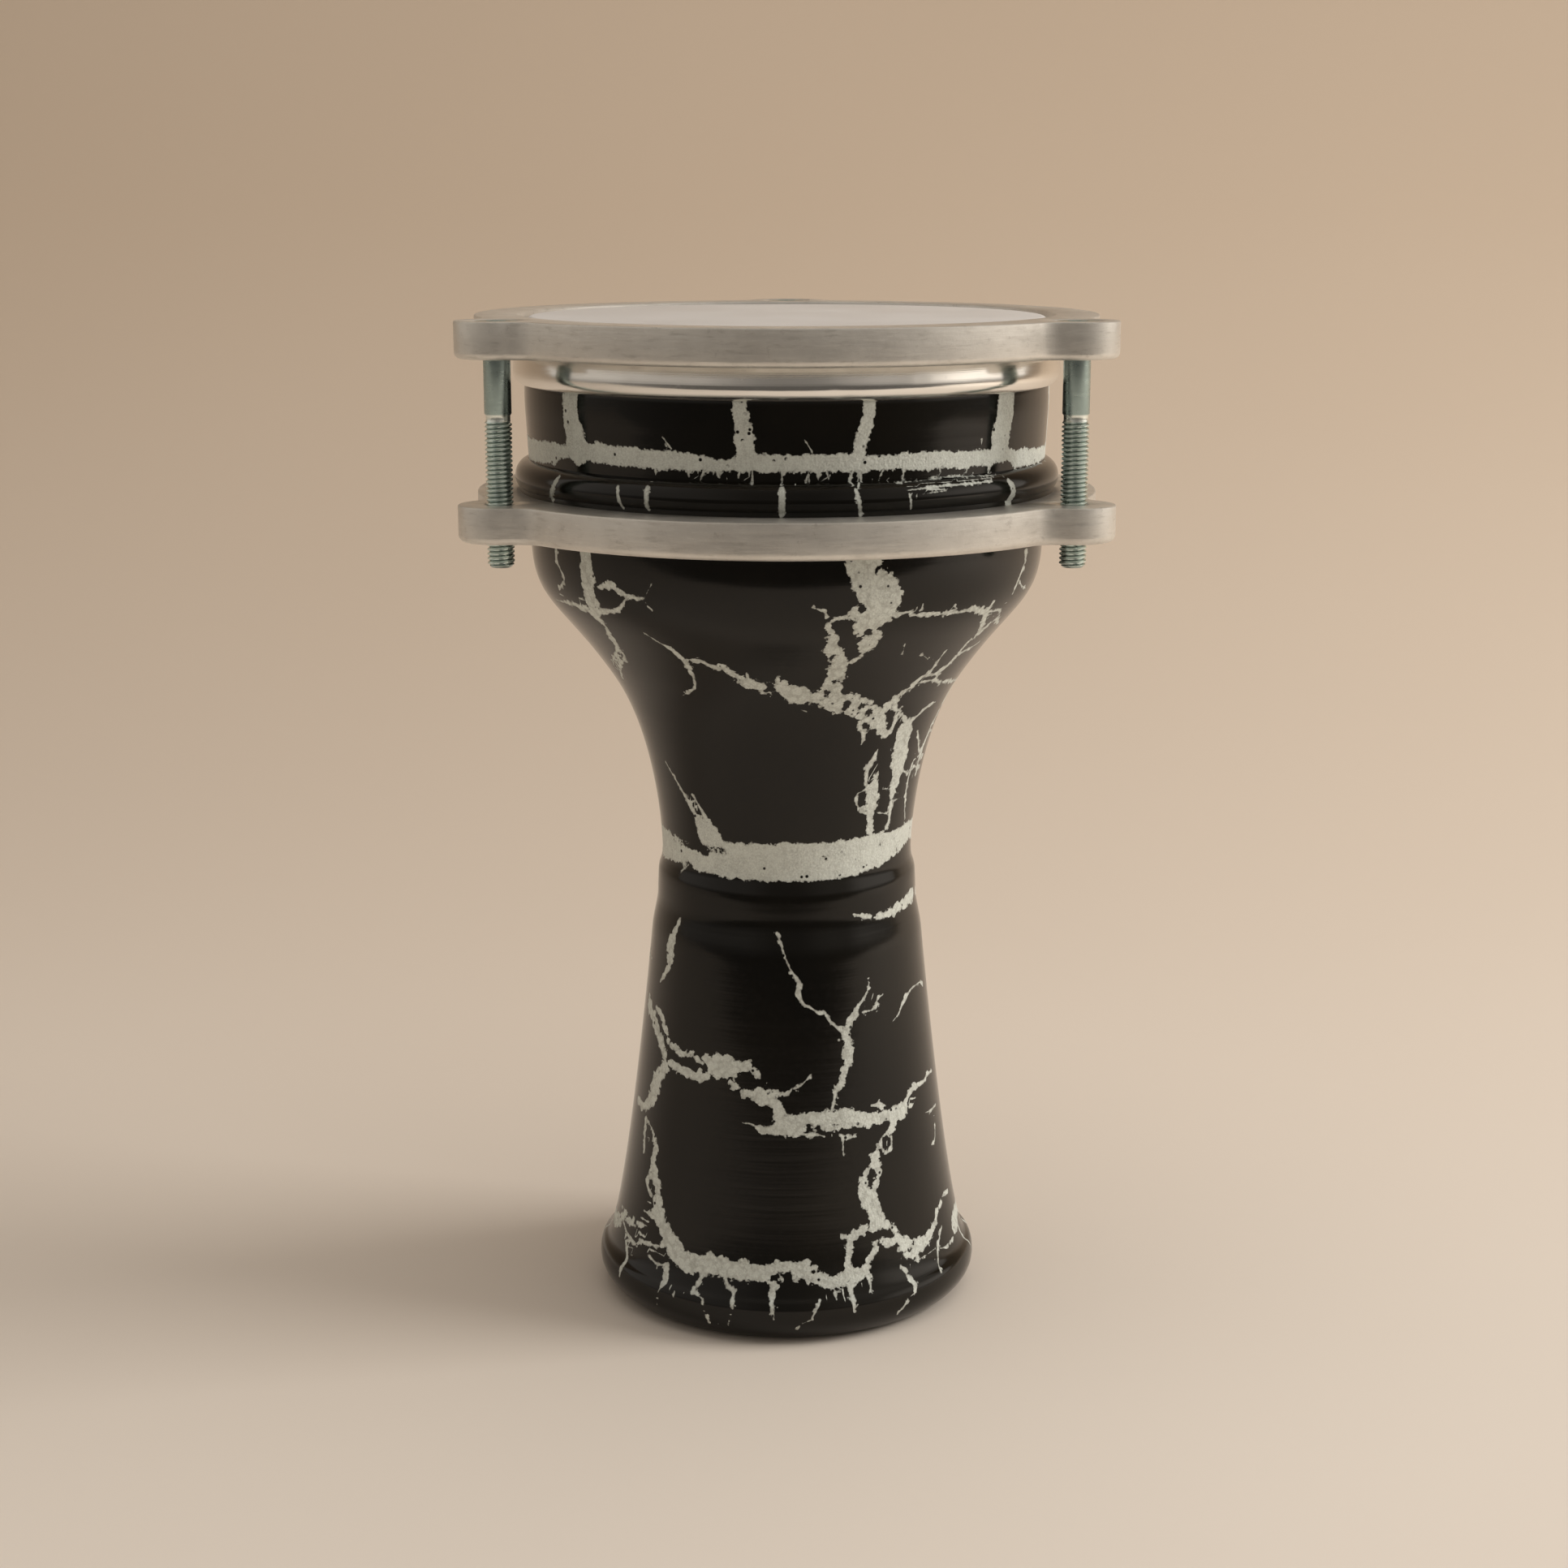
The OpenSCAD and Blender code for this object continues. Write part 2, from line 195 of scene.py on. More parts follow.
# ---- crackle: strokes seen on the front
# Each stroke is a list of (degrees from the front towards +X, height in mm, width in mm).
BOWL_STROKES = [
    [(-48, 186, 4.8), (-48, 176, 5), (-49, 173, 5), (-49.5, 171, 3.2), (-49, 169, 2.2), (-50, 165, 2.3),
     (-51, 163, 2.2), (-53, 162, 1), (-56, 160.5, 1), (-60, 159, 1), (-64, 157, 0.8)],
    [(-50.5, 162.5, 1.2), (-51, 160.5, 1), (-54, 159.5, 1.2), (-58, 158, 1.3), (-62, 155.5, 1.2),
     (-65, 153.5, 0.8)],
    [(-50, 172, 2), (-54, 172.5, 1.8), (-57.5, 173, 1.3), (-68, 172.5, 0.5)],
    [(-50, 174.5, 0.7), (-53.5, 175, 0.5)],
    [(-45, 178.5, 1), (-43.5, 178.5, 1.5), (-41, 179.5, 2.4), (-39, 178.5, 2), (-37, 177.5, 1.2),
     (-34, 177, 1), (-32, 177, 1)],
    [(-32, 177, 0.6), (-31, 178.5, 0.5), (-29.5, 180.5, 0.4)],
    [(-31.5, 175.5, 0.5), (-30.5, 174.5, 0.5)],
    [(-37, 176.5, 1), (-38.5, 175, 1), (-40.5, 173.5, 1.2), (-44, 173, 1.6), (-47, 172.5, 2)],
    [(-60, 186, 1.5), (-60, 182.5, 1.4), (-59, 181.5, 0.9), (-57, 179, 1), (-58, 178, 0.9),
     (-60.5, 176.5, 0.9), (-62, 175.5, 0.7)],
    [(-36, 168.5, 0.5), (-33, 166.5, 0.7), (-30.5, 165, 1), (-29, 163.5, 1.5), (-28, 162, 1.5),
     (-27.5, 160, 1.4), (-27.5, 158, 1.2), (-28, 156.5, 1), (-28.5, 155, 0.8), (-31, 154, 0.4),
     (-35, 152.5, 0.4)],
    [(-27.5, 162.5, 0.8), (-23, 162.5, 1), (-21.5, 161.5, 1.7), (-19, 161, 1.3), (-17.5, 161, 2.2),
     (-16, 160, 2.2), (-14, 158.5, 2.2), (-12, 157.5, 3), (-9, 156.5, 3.6), (-5, 156, 3.2),
     (-3, 156.5, 3.6), (0, 155.5, 4.4), (3, 154.5, 5.2), (5, 154, 4.2), (6.5, 153.5, 2.3), (8, 153.5, 3.4),
     (11, 153.5, 4), (15, 152, 5), (20, 151.5, 5.2), (25, 150, 5.5), (30, 148, 5.2), (33, 146, 4.2),
     (36, 144.5, 3.4), (38, 143, 2.2), (39, 142, 1.4)],
    [(-11, 159, 1.2), (-11, 160, 0.8)],
    [(-2.5, 158, 1.4), (-2.5, 159, 0.8)],
    [(-58, 134, 0.4), (-55, 131.5, 0.9), (-52, 129.5, 0.8), (-49.5, 127.5, 1), (-47, 125.5, 1.2),
     (-44.5, 123.5, 1.6), (-42, 121.5, 2.5), (-39, 118.5, 5), (-35, 116, 5)],
    [(-43, 127, 0.7), (-40.5, 125, 1), (-38.5, 123, 1.2), (-36.5, 121.5, 1.8), (-33, 118.5, 3),
     (-30, 117, 1.8)],
    [(16, 186, 9), (17, 183, 9), (19, 180.5, 9.5), (21, 178, 8.5), (21, 176, 8), (19.5, 174, 7),
     (18, 172, 6.5), (19, 170, 5.2), (20, 168, 4.8), (20, 166.5, 4), (19, 165, 2.4), (18.5, 163.5, 1.6),
     (17, 162.5, 1.6)],
    [(14.5, 175, 2.5), (13, 174, 1.5), (10, 173.5, 1), (9, 172.5, 1.5), (10, 170, 2.3), (11, 168, 2.8),
     (11, 166, 3.8), (12.5, 164, 4), (13.5, 162, 4.8), (14, 160, 5), (13.5, 158, 4.8), (13, 156, 5.5),
     (13, 154, 5)],
    [(9, 173.5, 0.6), (8, 175.5, 0.6), (6.5, 176, 0.5), (5, 176.5, 0.4)],
    [(4.5, 150.5, 0.5), (6.5, 150, 0.5)],
    [(26, 145.5, 1.5), (28, 144, 1.3), (29, 142.5, 1.2), (28.5, 140.5, 0.6)],
    [(34, 148.5, 3), (36, 150.5, 2.6), (37, 151.5, 2.2), (39, 152.5, 1.8), (41, 154, 1.8),
     (42.5, 155.5, 1.6), (44, 156.5, 1), (46, 157, 0.9), (49, 156.5, 0.9), (53, 157.5, 1.6),
     (55, 159.5, 1.5), (54.5, 162, 2), (55.5, 164, 2.2), (57, 165.5, 2.2), (58.5, 167, 2.2), (61, 169, 1.2),
     (64, 168, 1.1), (67, 167, 1)],
    [(43, 155, 0.7), (48, 155, 0.7), (52, 155, 1.2), (55, 154, 1.2), (58, 153.5, 1), (62, 153.5, 1),
     (68, 152.5, 1), (75, 152, 1)],
    [(46.5, 157, 1.2), (46.5, 159.5, 1.2), (47, 163, 0.6)],
    [(38, 150.5, 1.6), (38.5, 149.5, 1.4), (40.5, 148, 1.3), (41.5, 146, 1.5), (41, 144, 1.5),
     (40, 142.5, 1)],
    [(41, 148.5, 1), (44, 147, 1), (47, 145, 1.4), (50, 144.5, 1.4), (53, 145.5, 1.1), (56, 147, 1.1),
     (60, 148, 1), (63.5, 148, 0.6)],
    [(46, 143, 2.5), (48.5, 142, 6.8), (49.5, 140, 6.6), (50, 138, 6), (50.5, 136, 6.2), (51, 134, 5.5),
     (52, 132, 4.7), (51, 130, 3.2), (51, 128, 3), (50.5, 126, 1.9), (51, 124, 1.5), (51, 120, 1.2),
     (49.5, 118.5, 1.3)],
    [(55, 132, 1), (57.5, 131.5, 0.8), (62, 130, 0.8)],
    [(62.5, 132.5, 1.2), (62, 130, 1.2), (62, 127, 1), (63, 124, 0.8), (64, 121.5, 0.7), (66, 119, 0.6)],
    [(62, 131, 0.8), (66, 132, 1), (70, 131, 1), (75, 130.5, 1)],
    [(53, 125, 0.4), (62, 125, 0.4)],
    [(37, 139.5, 0.4), (36, 137.5, 1.3), (34.5, 135.5, 1.8), (33.5, 134, 1.6), (33.5, 132, 1.2),
     (34.5, 130.5, 0.6)],
    [(39.5, 134, 0.4), (39, 132.5, 1), (38.5, 131, 2.5), (38.5, 129, 4.2), (38.5, 127, 4.4), (39, 125.5, 4),
     (39, 124.5, 2.6), (38.5, 122, 2.1), (39, 120, 2.2), (39.5, 118, 2.3)],
    [(35, 125, 0.8), (32.5, 125, 0.8), (30.5, 126, 0.8), (29.5, 127.5, 0.8), (30.5, 128.5, 0.6),
     (33, 129, 0.6), (35, 129.5, 0.6)],
    [(30.5, 126, 0.9), (32.5, 124, 0.9), (35, 123.5, 0.9), (38, 123, 0.9)],
    [(42, 128.5, 0.4), (47, 128.5, 0.4)],
    [(42, 123, 0.5), (49.5, 122, 0.5)],
    [(22, 174, 1.8), (24, 174, 1.5), (28, 174.5, 0.8)],
    [(28, 173.5, 1.2), (34, 173.5, 1.2), (39, 173, 0.9), (43, 173, 1.2), (46, 173.5, 1.4), (49, 172.5, 1.6),
     (52, 171.5, 1.4), (54, 169.5, 1.7), (56, 167.5, 1.8), (57.5, 166.5, 1.8)],
    [(52, 172, 1), (55, 171.5, 1), (59, 171.5, 1.1), (61, 170, 1.1), (64, 168, 1.1)],
    [(52.5, 172.5, 1.2), (53.5, 174, 1.2)],
    [(56, 161, 1), (60, 161.5, 1), (64, 162.5, 1)],
    [(64.5, 184, 1.8), (64.5, 181.5, 1.8), (63, 179.5, 1.3), (62, 177.5, 1.1), (61.5, 175, 0.9)],
    [(63, 177.5, 0.6), (66, 176, 0.6), (70, 175, 0.6)],
    [(30.5, 177, 0.3), (30.5, 175, 0.3)],
    [(38.5, 175, 0.3), (40.5, 174, 0.3)],
    [(30, 166.5, 0.3), (31.5, 162.5, 0.3)],
    [(37.5, 163, 0.3), (42, 161, 0.3)],
    [(58, 141.5, 0.8), (61, 139.5, 1), (64, 137, 1), (68, 135, 1), (75, 133.5, 1)],
    [(30, 99.5, 0.4), (36, 98.5, 1.2), (40, 98, 1.8), (48, 98, 2.6), (58, 98.5, 3), (75, 99.5, 4)],
    [(-50, 109.5, 0.5), (-53, 108.5, 0.5), (-55, 107.5, 0.5)],
]

CONE_STROKES = [
    [(-53, 96.5, 0.8), (-55, 93.5, 2.6), (-57, 90, 3.8), (-57.5, 87, 3.4), (-57.5, 85, 3), (-59, 83, 1.8),
     (-61.5, 81, 1.2), (-64, 79.5, 0.6)],
    [(-75, 73, 3.5), (-70, 71, 3.5), (-65, 69.5, 3.3), (-61, 67, 3), (-57, 64.5, 2.8), (-54, 62.5, 2.6),
     (-50, 61.5, 2.6), (-45, 61.5, 2.4), (-40, 61, 2.4), (-36, 60.5, 2.6), (-32, 61.5, 3)],
    [(-65, 73, 1.5), (-60, 72, 2.4), (-57, 70, 2), (-54, 68, 1.8), (-51, 66, 2), (-48, 65.5, 2.4),
     (-45.5, 65, 2), (-44, 65, 1.2), (-41.5, 65.5, 1.8), (-38, 65.5, 2), (-36, 64.5, 1.3), (-34, 64, 1.2),
     (-31, 64.5, 3)],
    [(-31, 64, 5), (-27, 64, 5.8), (-23, 64, 5.6), (-20.5, 64.5, 3.5), (-18, 65, 2.8), (-14.5, 65, 3),
     (-12, 64, 2.2), (-10.5, 62.5, 1.2)],
    [(-23, 61.5, 2), (-21, 60.5, 1.2), (-18, 59, 2), (-15, 58.5, 2.3), (-12, 58.5, 3.3), (-9, 58, 4),
     (-6, 57.5, 3.8), (-4, 56, 3.4), (-2.5, 54, 4), (-1.5, 52.5, 5), (0, 52, 5.5)],
    [(-5, 59.5, 1.2), (-2, 58.5, 1.2), (0, 58.5, 0.8), (2, 60, 0.7), (5, 60.5, 0.6), (7.5, 62, 0.6),
     (9.5, 63.5, 0.5)],
    [(-16.5, 51.5, 0.5), (-13, 51.5, 0.8), (-10.5, 50.5, 1.4), (-7, 50, 2.6), (-4, 50.5, 3.6), (0, 50, 2.6),
     (5, 49.5, 2)],
    [(-54, 61, 3.4), (-57, 58.5, 3.8), (-59, 56.5, 4.2), (-59.5, 54, 4.8), (-61, 51.5, 4), (-64, 49.5, 3),
     (-68, 48, 2.6), (-75, 48, 2.6)],
    [(-64.5, 46, 1.4), (-64, 43, 1.3), (-63, 40, 1.1), (-62.5, 38, 1)],
    [(-65, 46.5, 0.5), (-62, 45.5, 0.5), (-59, 44.5, 0.5)],
    [(-58, 44, 1), (-56, 42, 2), (-54.5, 40, 3), (-55, 38, 2.5), (-56, 36.5, 2.6), (-54, 35, 3),
     (-53, 33.5, 3), (-51, 31.5, 3), (-50, 29.5, 3.4), (-50, 27.5, 4.2), (-49, 25.5, 4.8), (-47, 23.5, 4),
     (-44, 22, 4.2), (-41, 20, 5), (-38, 18, 5), (-34, 17, 5.2), (-30, 17, 5), (-26, 17.5, 4.8)],
    [(-56.5, 34, 1.2), (-58, 32, 1.2), (-57, 30.5, 1.2), (-54, 29, 1.2)],
    [(-57, 24.5, 0.6), (-54, 24.5, 1.4), (-51, 24.5, 2)],
    [(-4.5, 97, 0.4), (-2.5, 94, 0.7), (-1, 91, 1), (1, 88.5, 0.7), (3, 86.5, 0.7), (5.5, 84.5, 1.6),
     (4, 82.5, 1.2), (5.5, 81, 1.2), (7, 79.5, 1), (9, 79, 0.9), (12.5, 77.5, 1), (15, 77.5, 1.1),
     (17.5, 75, 0.8), (19.5, 74, 0.8), (21.5, 73, 1), (23, 72, 1.4)],
    [(23.5, 72, 3), (24, 70, 3.4), (24, 66, 3.2), (23.5, 64, 2.5), (22, 62, 2.2), (20.5, 60.5, 1.7),
     (19, 59, 1.2), (18, 57.5, 1), (17.5, 56, 0.8), (16.5, 54, 0.8)],
    [(24, 72.5, 2.5), (26, 75, 2.3), (27, 76.5, 2.2), (29, 77.5, 1.3), (31, 79, 0.9), (33, 80, 0.9),
     (34.5, 81.5, 0.6), (35.5, 82.5, 0.7), (35, 83.5, 0.5)],
    [(27.5, 75.5, 1.6), (30, 76.5, 0.5), (36, 76.5, 0.7), (38, 76.5, 0.8), (39, 79, 0.7), (42, 79.5, 0.3)],
    [(0, 52, 5.5), (5, 52, 5), (10, 52.5, 3.8), (14, 52, 5.3), (22, 52, 5.2), (26, 51.5, 4.2),
     (32, 51, 3.8), (36, 50.5, 3), (40, 50.5, 3.4), (44, 50.5, 4), (48, 50.5, 3.2), (52, 50.5, 2.2),
     (54, 51, 1), (56, 51.5, 0.5)],
    [(3, 49.5, 1), (8, 49, 1), (11, 49, 1), (13.5, 48.5, 0.6)],
    [(33, 54, 0.9), (36, 54, 1.7), (38.5, 52.5, 1.8)],
    [(43, 52, 1.6), (49, 52, 1.6), (52, 53.5, 1.6), (55, 55, 1.8), (60, 55, 1.6), (65, 55, 1.3),
     (69, 56, 1.2), (75, 55.5, 1)],
    [(19.5, 48.5, 1), (21.5, 47.5, 1.2), (25.5, 47.5, 0.5)],
    [(20.5, 46.5, 0.5), (20.5, 43.5, 0.5)],
    [(63, 47.5, 0.7), (68, 47, 0.7), (75, 47, 0.7)],
    [(65, 39, 0.8), (69, 39.5, 0.8), (71, 43, 0.8)],
    [(42, 48.5, 2.8), (41, 47, 2.2), (38, 46.5, 0.9), (36.5, 46, 0.8), (36, 44.5, 0.9), (36.5, 43, 0.9)],
    [(41, 45.5, 1.3), (41, 43.5, 0.9), (39.5, 42.5, 0.7), (37.5, 42, 0.6)],
    [(34.5, 43.5, 2), (33.5, 42, 3.4), (32.5, 40, 4.2), (31.5, 38, 5.2), (30, 36, 6), (29, 34, 5),
     (29.5, 32, 5.8), (31, 30, 5), (31.5, 28, 4.8), (31.5, 26.5, 5.5)],
    [(29, 26, 2.6), (25, 25, 2.2), (22, 24.5, 2.6), (21, 21.5, 2.5), (20.5, 20, 2), (20, 18.5, 1.8),
     (19.5, 16.5, 2.6)],
    [(22, 24.5, 2), (18.5, 24.5, 1.3)],
    [(31, 22, 1.2), (30, 20.5, 1.4), (28.5, 19, 1.4), (27, 17.5, 1.8), (26, 16.5, 2)],
    [(35, 25.5, 2.8), (37.5, 24, 2.4), (39.5, 22, 2.8), (41, 20, 3.8), (43, 18.5, 5), (46, 17.5, 4.3),
     (50, 18, 3.8), (54, 18.5, 2.9), (57, 20, 2.4), (60, 21.5, 2.2), (62, 23, 2), (65, 24, 2),
     (69, 25.5, 1.8), (75, 25, 1.2)],
    [(30, 21.5, 1.4), (33, 21.5, 2.4), (37, 21, 3)],
    [(44, 15, 0.4), (50, 15, 0.4), (58, 15.5, 0.8), (60, 16.5, 0.8), (61.5, 18, 1), (63.5, 19, 1.2)],
    [(58, 15, 0.8), (63, 14, 0.8), (67, 14, 1), (71, 14.5, 0.8)],
    [(46.5, 72.5, 0.4), (50, 73.5, 0.7), (54, 76, 1.3), (58, 77.5, 1.3), (62, 78.5, 0.8), (70, 78.5, 0.9),
     (75, 77.5, 1.2)],
]

FOOT_STROKES = [
    [(-75, 20.5, 2.5), (-65, 20, 2), (-60, 20.5, 1.8), (-57, 21, 1.5), (-54.5, 21.5, 0.8)],
    [(-75, 18.5, 0.8), (-70, 18, 0.8), (-67, 17, 1), (-64, 16.5, 1.6), (-60, 16, 1.2), (-57.5, 15.5, 0.6)],
    [(-57, 17.5, 1), (-54, 17.5, 1.3), (-48, 18, 0.9), (-44.5, 18.5, 0.6)],
    [(-66.5, 15.5, 1), (-64, 14, 1.3), (-62, 12.5, 1.2), (-60.5, 10.5, 1.4), (-61, 8, 1)],
    [(-36, 17, 4.6), (-30, 17, 5), (-25, 17.5, 5.6), (-20, 17, 5), (-12, 17, 4.8), (-5, 17, 4.6),
     (0, 17.5, 4.6), (3, 17.5, 4.8), (6, 17.5, 5), (8, 17, 5), (10, 15.5, 3.5), (12, 14.5, 3.5),
     (14.5, 14, 4), (17, 15, 3.6), (19.5, 15, 4), (23, 15, 3.5), (26, 15.5, 3)],
    [(-50, 15, 0.8), (-46, 14, 0.9), (-43, 14.5, 1), (-41.5, 15, 1.5), (-41, 13, 1.6), (-40.5, 11, 1.7),
     (-41.5, 9, 1)],
    [(-42, 5.5, 0.9), (-42, 6.5, 0.5)],
    [(-35.5, 10, 0.9), (-35.5, 9, 0.4)],
    [(-27.5, 15, 1.2), (-28.5, 12.5, 1.2), (-29.5, 11, 0.8), (-25.5, 10, 0.6), (-25.5, 9, 0.9)],
    [(-24.5, 6.5, 0.6), (-23.5, 4.5, 0.6)],
    [(-19.5, 15, 1), (-18.5, 13, 1.2), (-16.5, 12.5, 1.2), (-16.5, 10.5, 1.5), (-16, 9, 0.9)],
    [(-17, 6, 0.8), (-17.5, 4.5, 0.8)],
    [(-4, 15, 1.8), (-4.5, 12, 1.5), (-4.5, 10, 1.3), (-4, 8, 0.9), (-3.5, 6.5, 0.4)],
    [(10, 11, 0.8), (9, 9.5, 0.8), (7.5, 7.5, 0.8)],
    [(4, 5.5, 0.5), (3, 4, 0.5)],
    [(15, 12, 1.5), (15, 11, 0.6)],
    [(20, 14.5, 2.2), (20, 12, 1.6), (20, 10, 1.3), (20, 8, 1)],
    [(26.5, 14, 0.8), (27, 12.5, 0.8), (26, 11, 0.8)],
    [(39, 15, 1), (41, 13.5, 1.6), (42, 12, 2), (42, 10.5, 1.7), (41.5, 9, 0.9)],
    [(38.5, 7.5, 1), (36, 5.5, 1), (35, 5, 1)],
    [(58, 15, 1.2), (57, 13, 1.1), (55, 10.5, 0.6)],
]

WALL_STROKES = [
    [(-51.5, 221, 6), (-51.5, 215, 6), (-50.5, 212, 7), (-49.5, 208.5, 7.5)],
    [(-9.5, 221, 3.5), (-9, 216, 3.8), (-8.5, 213, 4.6), (-8.5, 210.5, 4.6), (-9, 208.5, 3.6)],
    [(17, 221, 3.2), (16.5, 217, 3), (16, 215, 3.7), (15, 212, 3.2), (14.5, 209, 2.8)],
    [(52.5, 221, 6.6), (52, 215, 6.6), (51, 212, 7), (51, 208.5, 7)],
    [(-54, 202, 1.8), (-54.5, 200, 1.8), (-56.5, 197, 1.8)],
    [(-35.5, 201.5, 0.9), (-35, 199, 0.9), (-34.5, 197, 0.9)],
    [(-28.5, 201.5, 1.4), (-28.5, 197.5, 1.4)],
    [(-1, 202, 1.6), (-1, 197, 1.6)],
    [(13.5, 202, 1.1), (14, 199.5, 1.1), (14.5, 196.5, 1.1)],
    [(24.5, 200.5, 0.6), (25, 197.5, 0.6)],
    [(51, 201.5, 1.6), (52, 199.5, 2.4), (51.5, 196.5, 2.6)],
    [(24, 201.5, 0.4), (33, 202, 0.7), (46, 202, 0.5)],
    [(27, 200.5, 0.3), (33, 201, 0.3)],
    [(22, 203, 0.2), (36, 203.5, 0.3), (50, 203, 0.2)],
    [(-26, 212.5, 0.4), (-24, 210, 0.4)],
    [(3.5, 212.5, 0.4), (5, 210, 0.4)],
    [(44.5, 211, 0.4), (44.5, 209.5, 0.4)],
]

# Bands that run round the drum: (degrees, lower edge in mm, upper edge in mm).
WAIST_BAND = [
    (-75, 108, 116), (-60, 109, 116), (-50, 110, 115), (-46, 108.5, 114), (-43, 108.5, 113),
    (-38, 108.5, 113), (-35, 108.5, 116), (-28, 108, 117), (0, 108, 117.5), (20, 108, 117.5),
    (30, 108.5, 117.5), (40, 109, 118), (50, 110, 117.5), (60, 111, 117.5), (75, 113, 118), (100, 110, 117),
    (140, 108, 116.5), (180, 108.5, 117.5), (220, 107.5, 116), (260, 108.5, 117),
]
WALL_BAND = [
    (-75, 203.5, 209), (-60, 204, 209.5), (-56, 206, 209), (-52, 206, 208.5), (-45, 206, 210.5),
    (-30, 205.5, 210), (-20, 205.5, 209.5), (-15, 205.5, 208.5), (-11, 205.5, 208), (-6, 205.5, 209.5),
    (12, 205.5, 209.5), (17, 205.5, 209), (25, 205.5, 209.5), (40, 205, 209), (54, 205.5, 208.5),
    (57, 203.5, 208), (75, 203.5, 207), (120, 205, 209), (170, 205.5, 209.5), (230, 204.5, 209),
]
# Degrees from the front where a hair of silver runs down from the wall band.
HAIR_DRIPS = [-28, -20.5, -17, -14.5, -9.5, -7, -1, 4.5, 6, 8, 13.5, 15, 20, 24.5, 33, 40, 47]

# Spots of enamel left standing in the silver: (degrees, height, width across, height of spot).
ISLANDS = [
    (38.5, 147.5, 2.3, 4.5), (43, 144.5, 1, 2.5), (45.5, 156, 2, 1.2), (-17, 61.5, 4, 1.3),
    (-54.5, 31.5, 1.6, 1.6), (31, 37, 2, 3.3), (26, 22, 5.5, 2.6), (34, 23.5, 3.5, 1.4), (24, 19, 3.5, 2),
    (1, 16.5, 2.5, 1.2), (8.5, 17.5, 1.5, 1.3), (10, 50.5, 4, 0.8), (20, 184, 2, 1), (-45, 114.5, 13, 1.8),
    (17.5, 113.5, 1, 0.6), (46, 114.5, 1.4, 0.6), (60, 113.5, 1.2, 0.7),
]
# Round pits in the silver: (degrees, height).
PITS = [
    (12, 164), (14, 158), (11.5, 154.5), (19, 151), (18.5, 169.5), (25, 150.5), (28.5, 149), (-5, 156),
    (-52, 63), (-49, 63), (-44.5, 62.5), (-43, 64), (-34, 63.5), (-33, 62.5), (44, 18), (-4, 16),
]


# Degrees: the front's strokes lie below this, and the back's run on from it up to 360.
FRONT_END = 76
# A vertex at least this far outside the silver is plain enamel, in mm.
FAR = 3.0
# A stroke with a smaller half width, in mm, is a hair that the material draws from its middle line.
HAIR_HALF = 0.9
BACK_SEED = 7
DRIP_SEED = 3


def wander(rng, angle, height, heading, steps, width):
    """One crack for the unseen back: a walk in even steps that keeps its heading and thins to a hair."""
    pace = 2.6
    stroke = []
    drift = 0
    for k in range(steps):
        share = 1 - k / steps
        thickness = width * (0.2 + 0.8 * share) * rng.uniform(0.75, 1.25)
        stroke.append((angle, height, max(0.4, thickness)))
        drift = 0.75 * drift + rng.uniform(-0.5, 0.5)
        radius = 32 + 0.0072 * max(0, height - 120) ** 2
        angle += math.degrees(pace * math.cos(heading + drift) / radius)
        height += pace * math.sin(heading + drift)
    return stroke


def back_strokes():
    """Cracks for the part of the drum that faces away, in the front's style."""
    rng = random.Random(BACK_SEED)
    strokes = []
    # Each start: degrees from the front, height, heading in radians, steps, width.
    starts = [
        (88, 186, -1.4, 24, 5), (118, 186, -1.7, 15, 8), (150, 186, -1.3, 26, 5), (184, 186, -1.8, 20, 8),
        (222, 186, -1.4, 26, 4.5), (256, 186, -1.7, 18, 6), (84, 156, 0.1, 22, 4), (170, 160, 0.0, 22, 4),
        (240, 150, 0.2, 12, 3.5), (128, 117, 1.3, 13, 4.5), (205, 117, 1.8, 14, 5),
        (262, 117, 1.4, 10, 3.5), (84, 99, 0.05, 12, 3.5), (112, 92, -1.2, 13, 2.5),
        (94, 56, 0.15, 22, 4.5), (188, 60, 0.0, 24, 4.5), (140, 58, -1.4, 17, 5),
        (176, 92, -1.5, 14, 2.2), (214, 56, -1.6, 16, 5), (252, 62, -1.4, 18, 4.5), (235, 74, 1.2, 7, 2),
        (268, 92, -1.6, 12, 1.6), (100, 36, -1.5, 9, 4), (166, 36, -1.7, 9, 4),
    ]
    for angle, height, heading, steps, width in starts:
        stroke = wander(rng, angle, height, heading, steps, width)
        strokes.append(stroke)
        for k in range(4, steps - 2, 5):
            side = stroke[k]
            turn = heading + rng.choice([-1, 1]) * rng.uniform(0.7, 1.2)
            strokes.append(wander(rng, side[0], side[1], turn, 6, side[2] * 0.6))
    for angle in range(82, 284, 34):
        strokes.append([(angle, 221, 5), (angle + 1, 214, 5), (angle + 2, 208, 6)])
        strokes.append([(angle + 9, 202, 1.4), (angle + 10, 197, 1.6)])
    for angle in range(80, 284, 17):
        drop = rng.uniform(4, 8)
        strokes.append([(angle, 15, 1.5), (angle + rng.uniform(-2, 2), 15 - drop, 0.8)])
    foot_band = []
    for angle in range(75, 288, 6):
        foot_band.append((angle, 17 + rng.uniform(-1.2, 1.2), rng.uniform(2.5, 5.5)))
    strokes.append(foot_band)
    return strokes


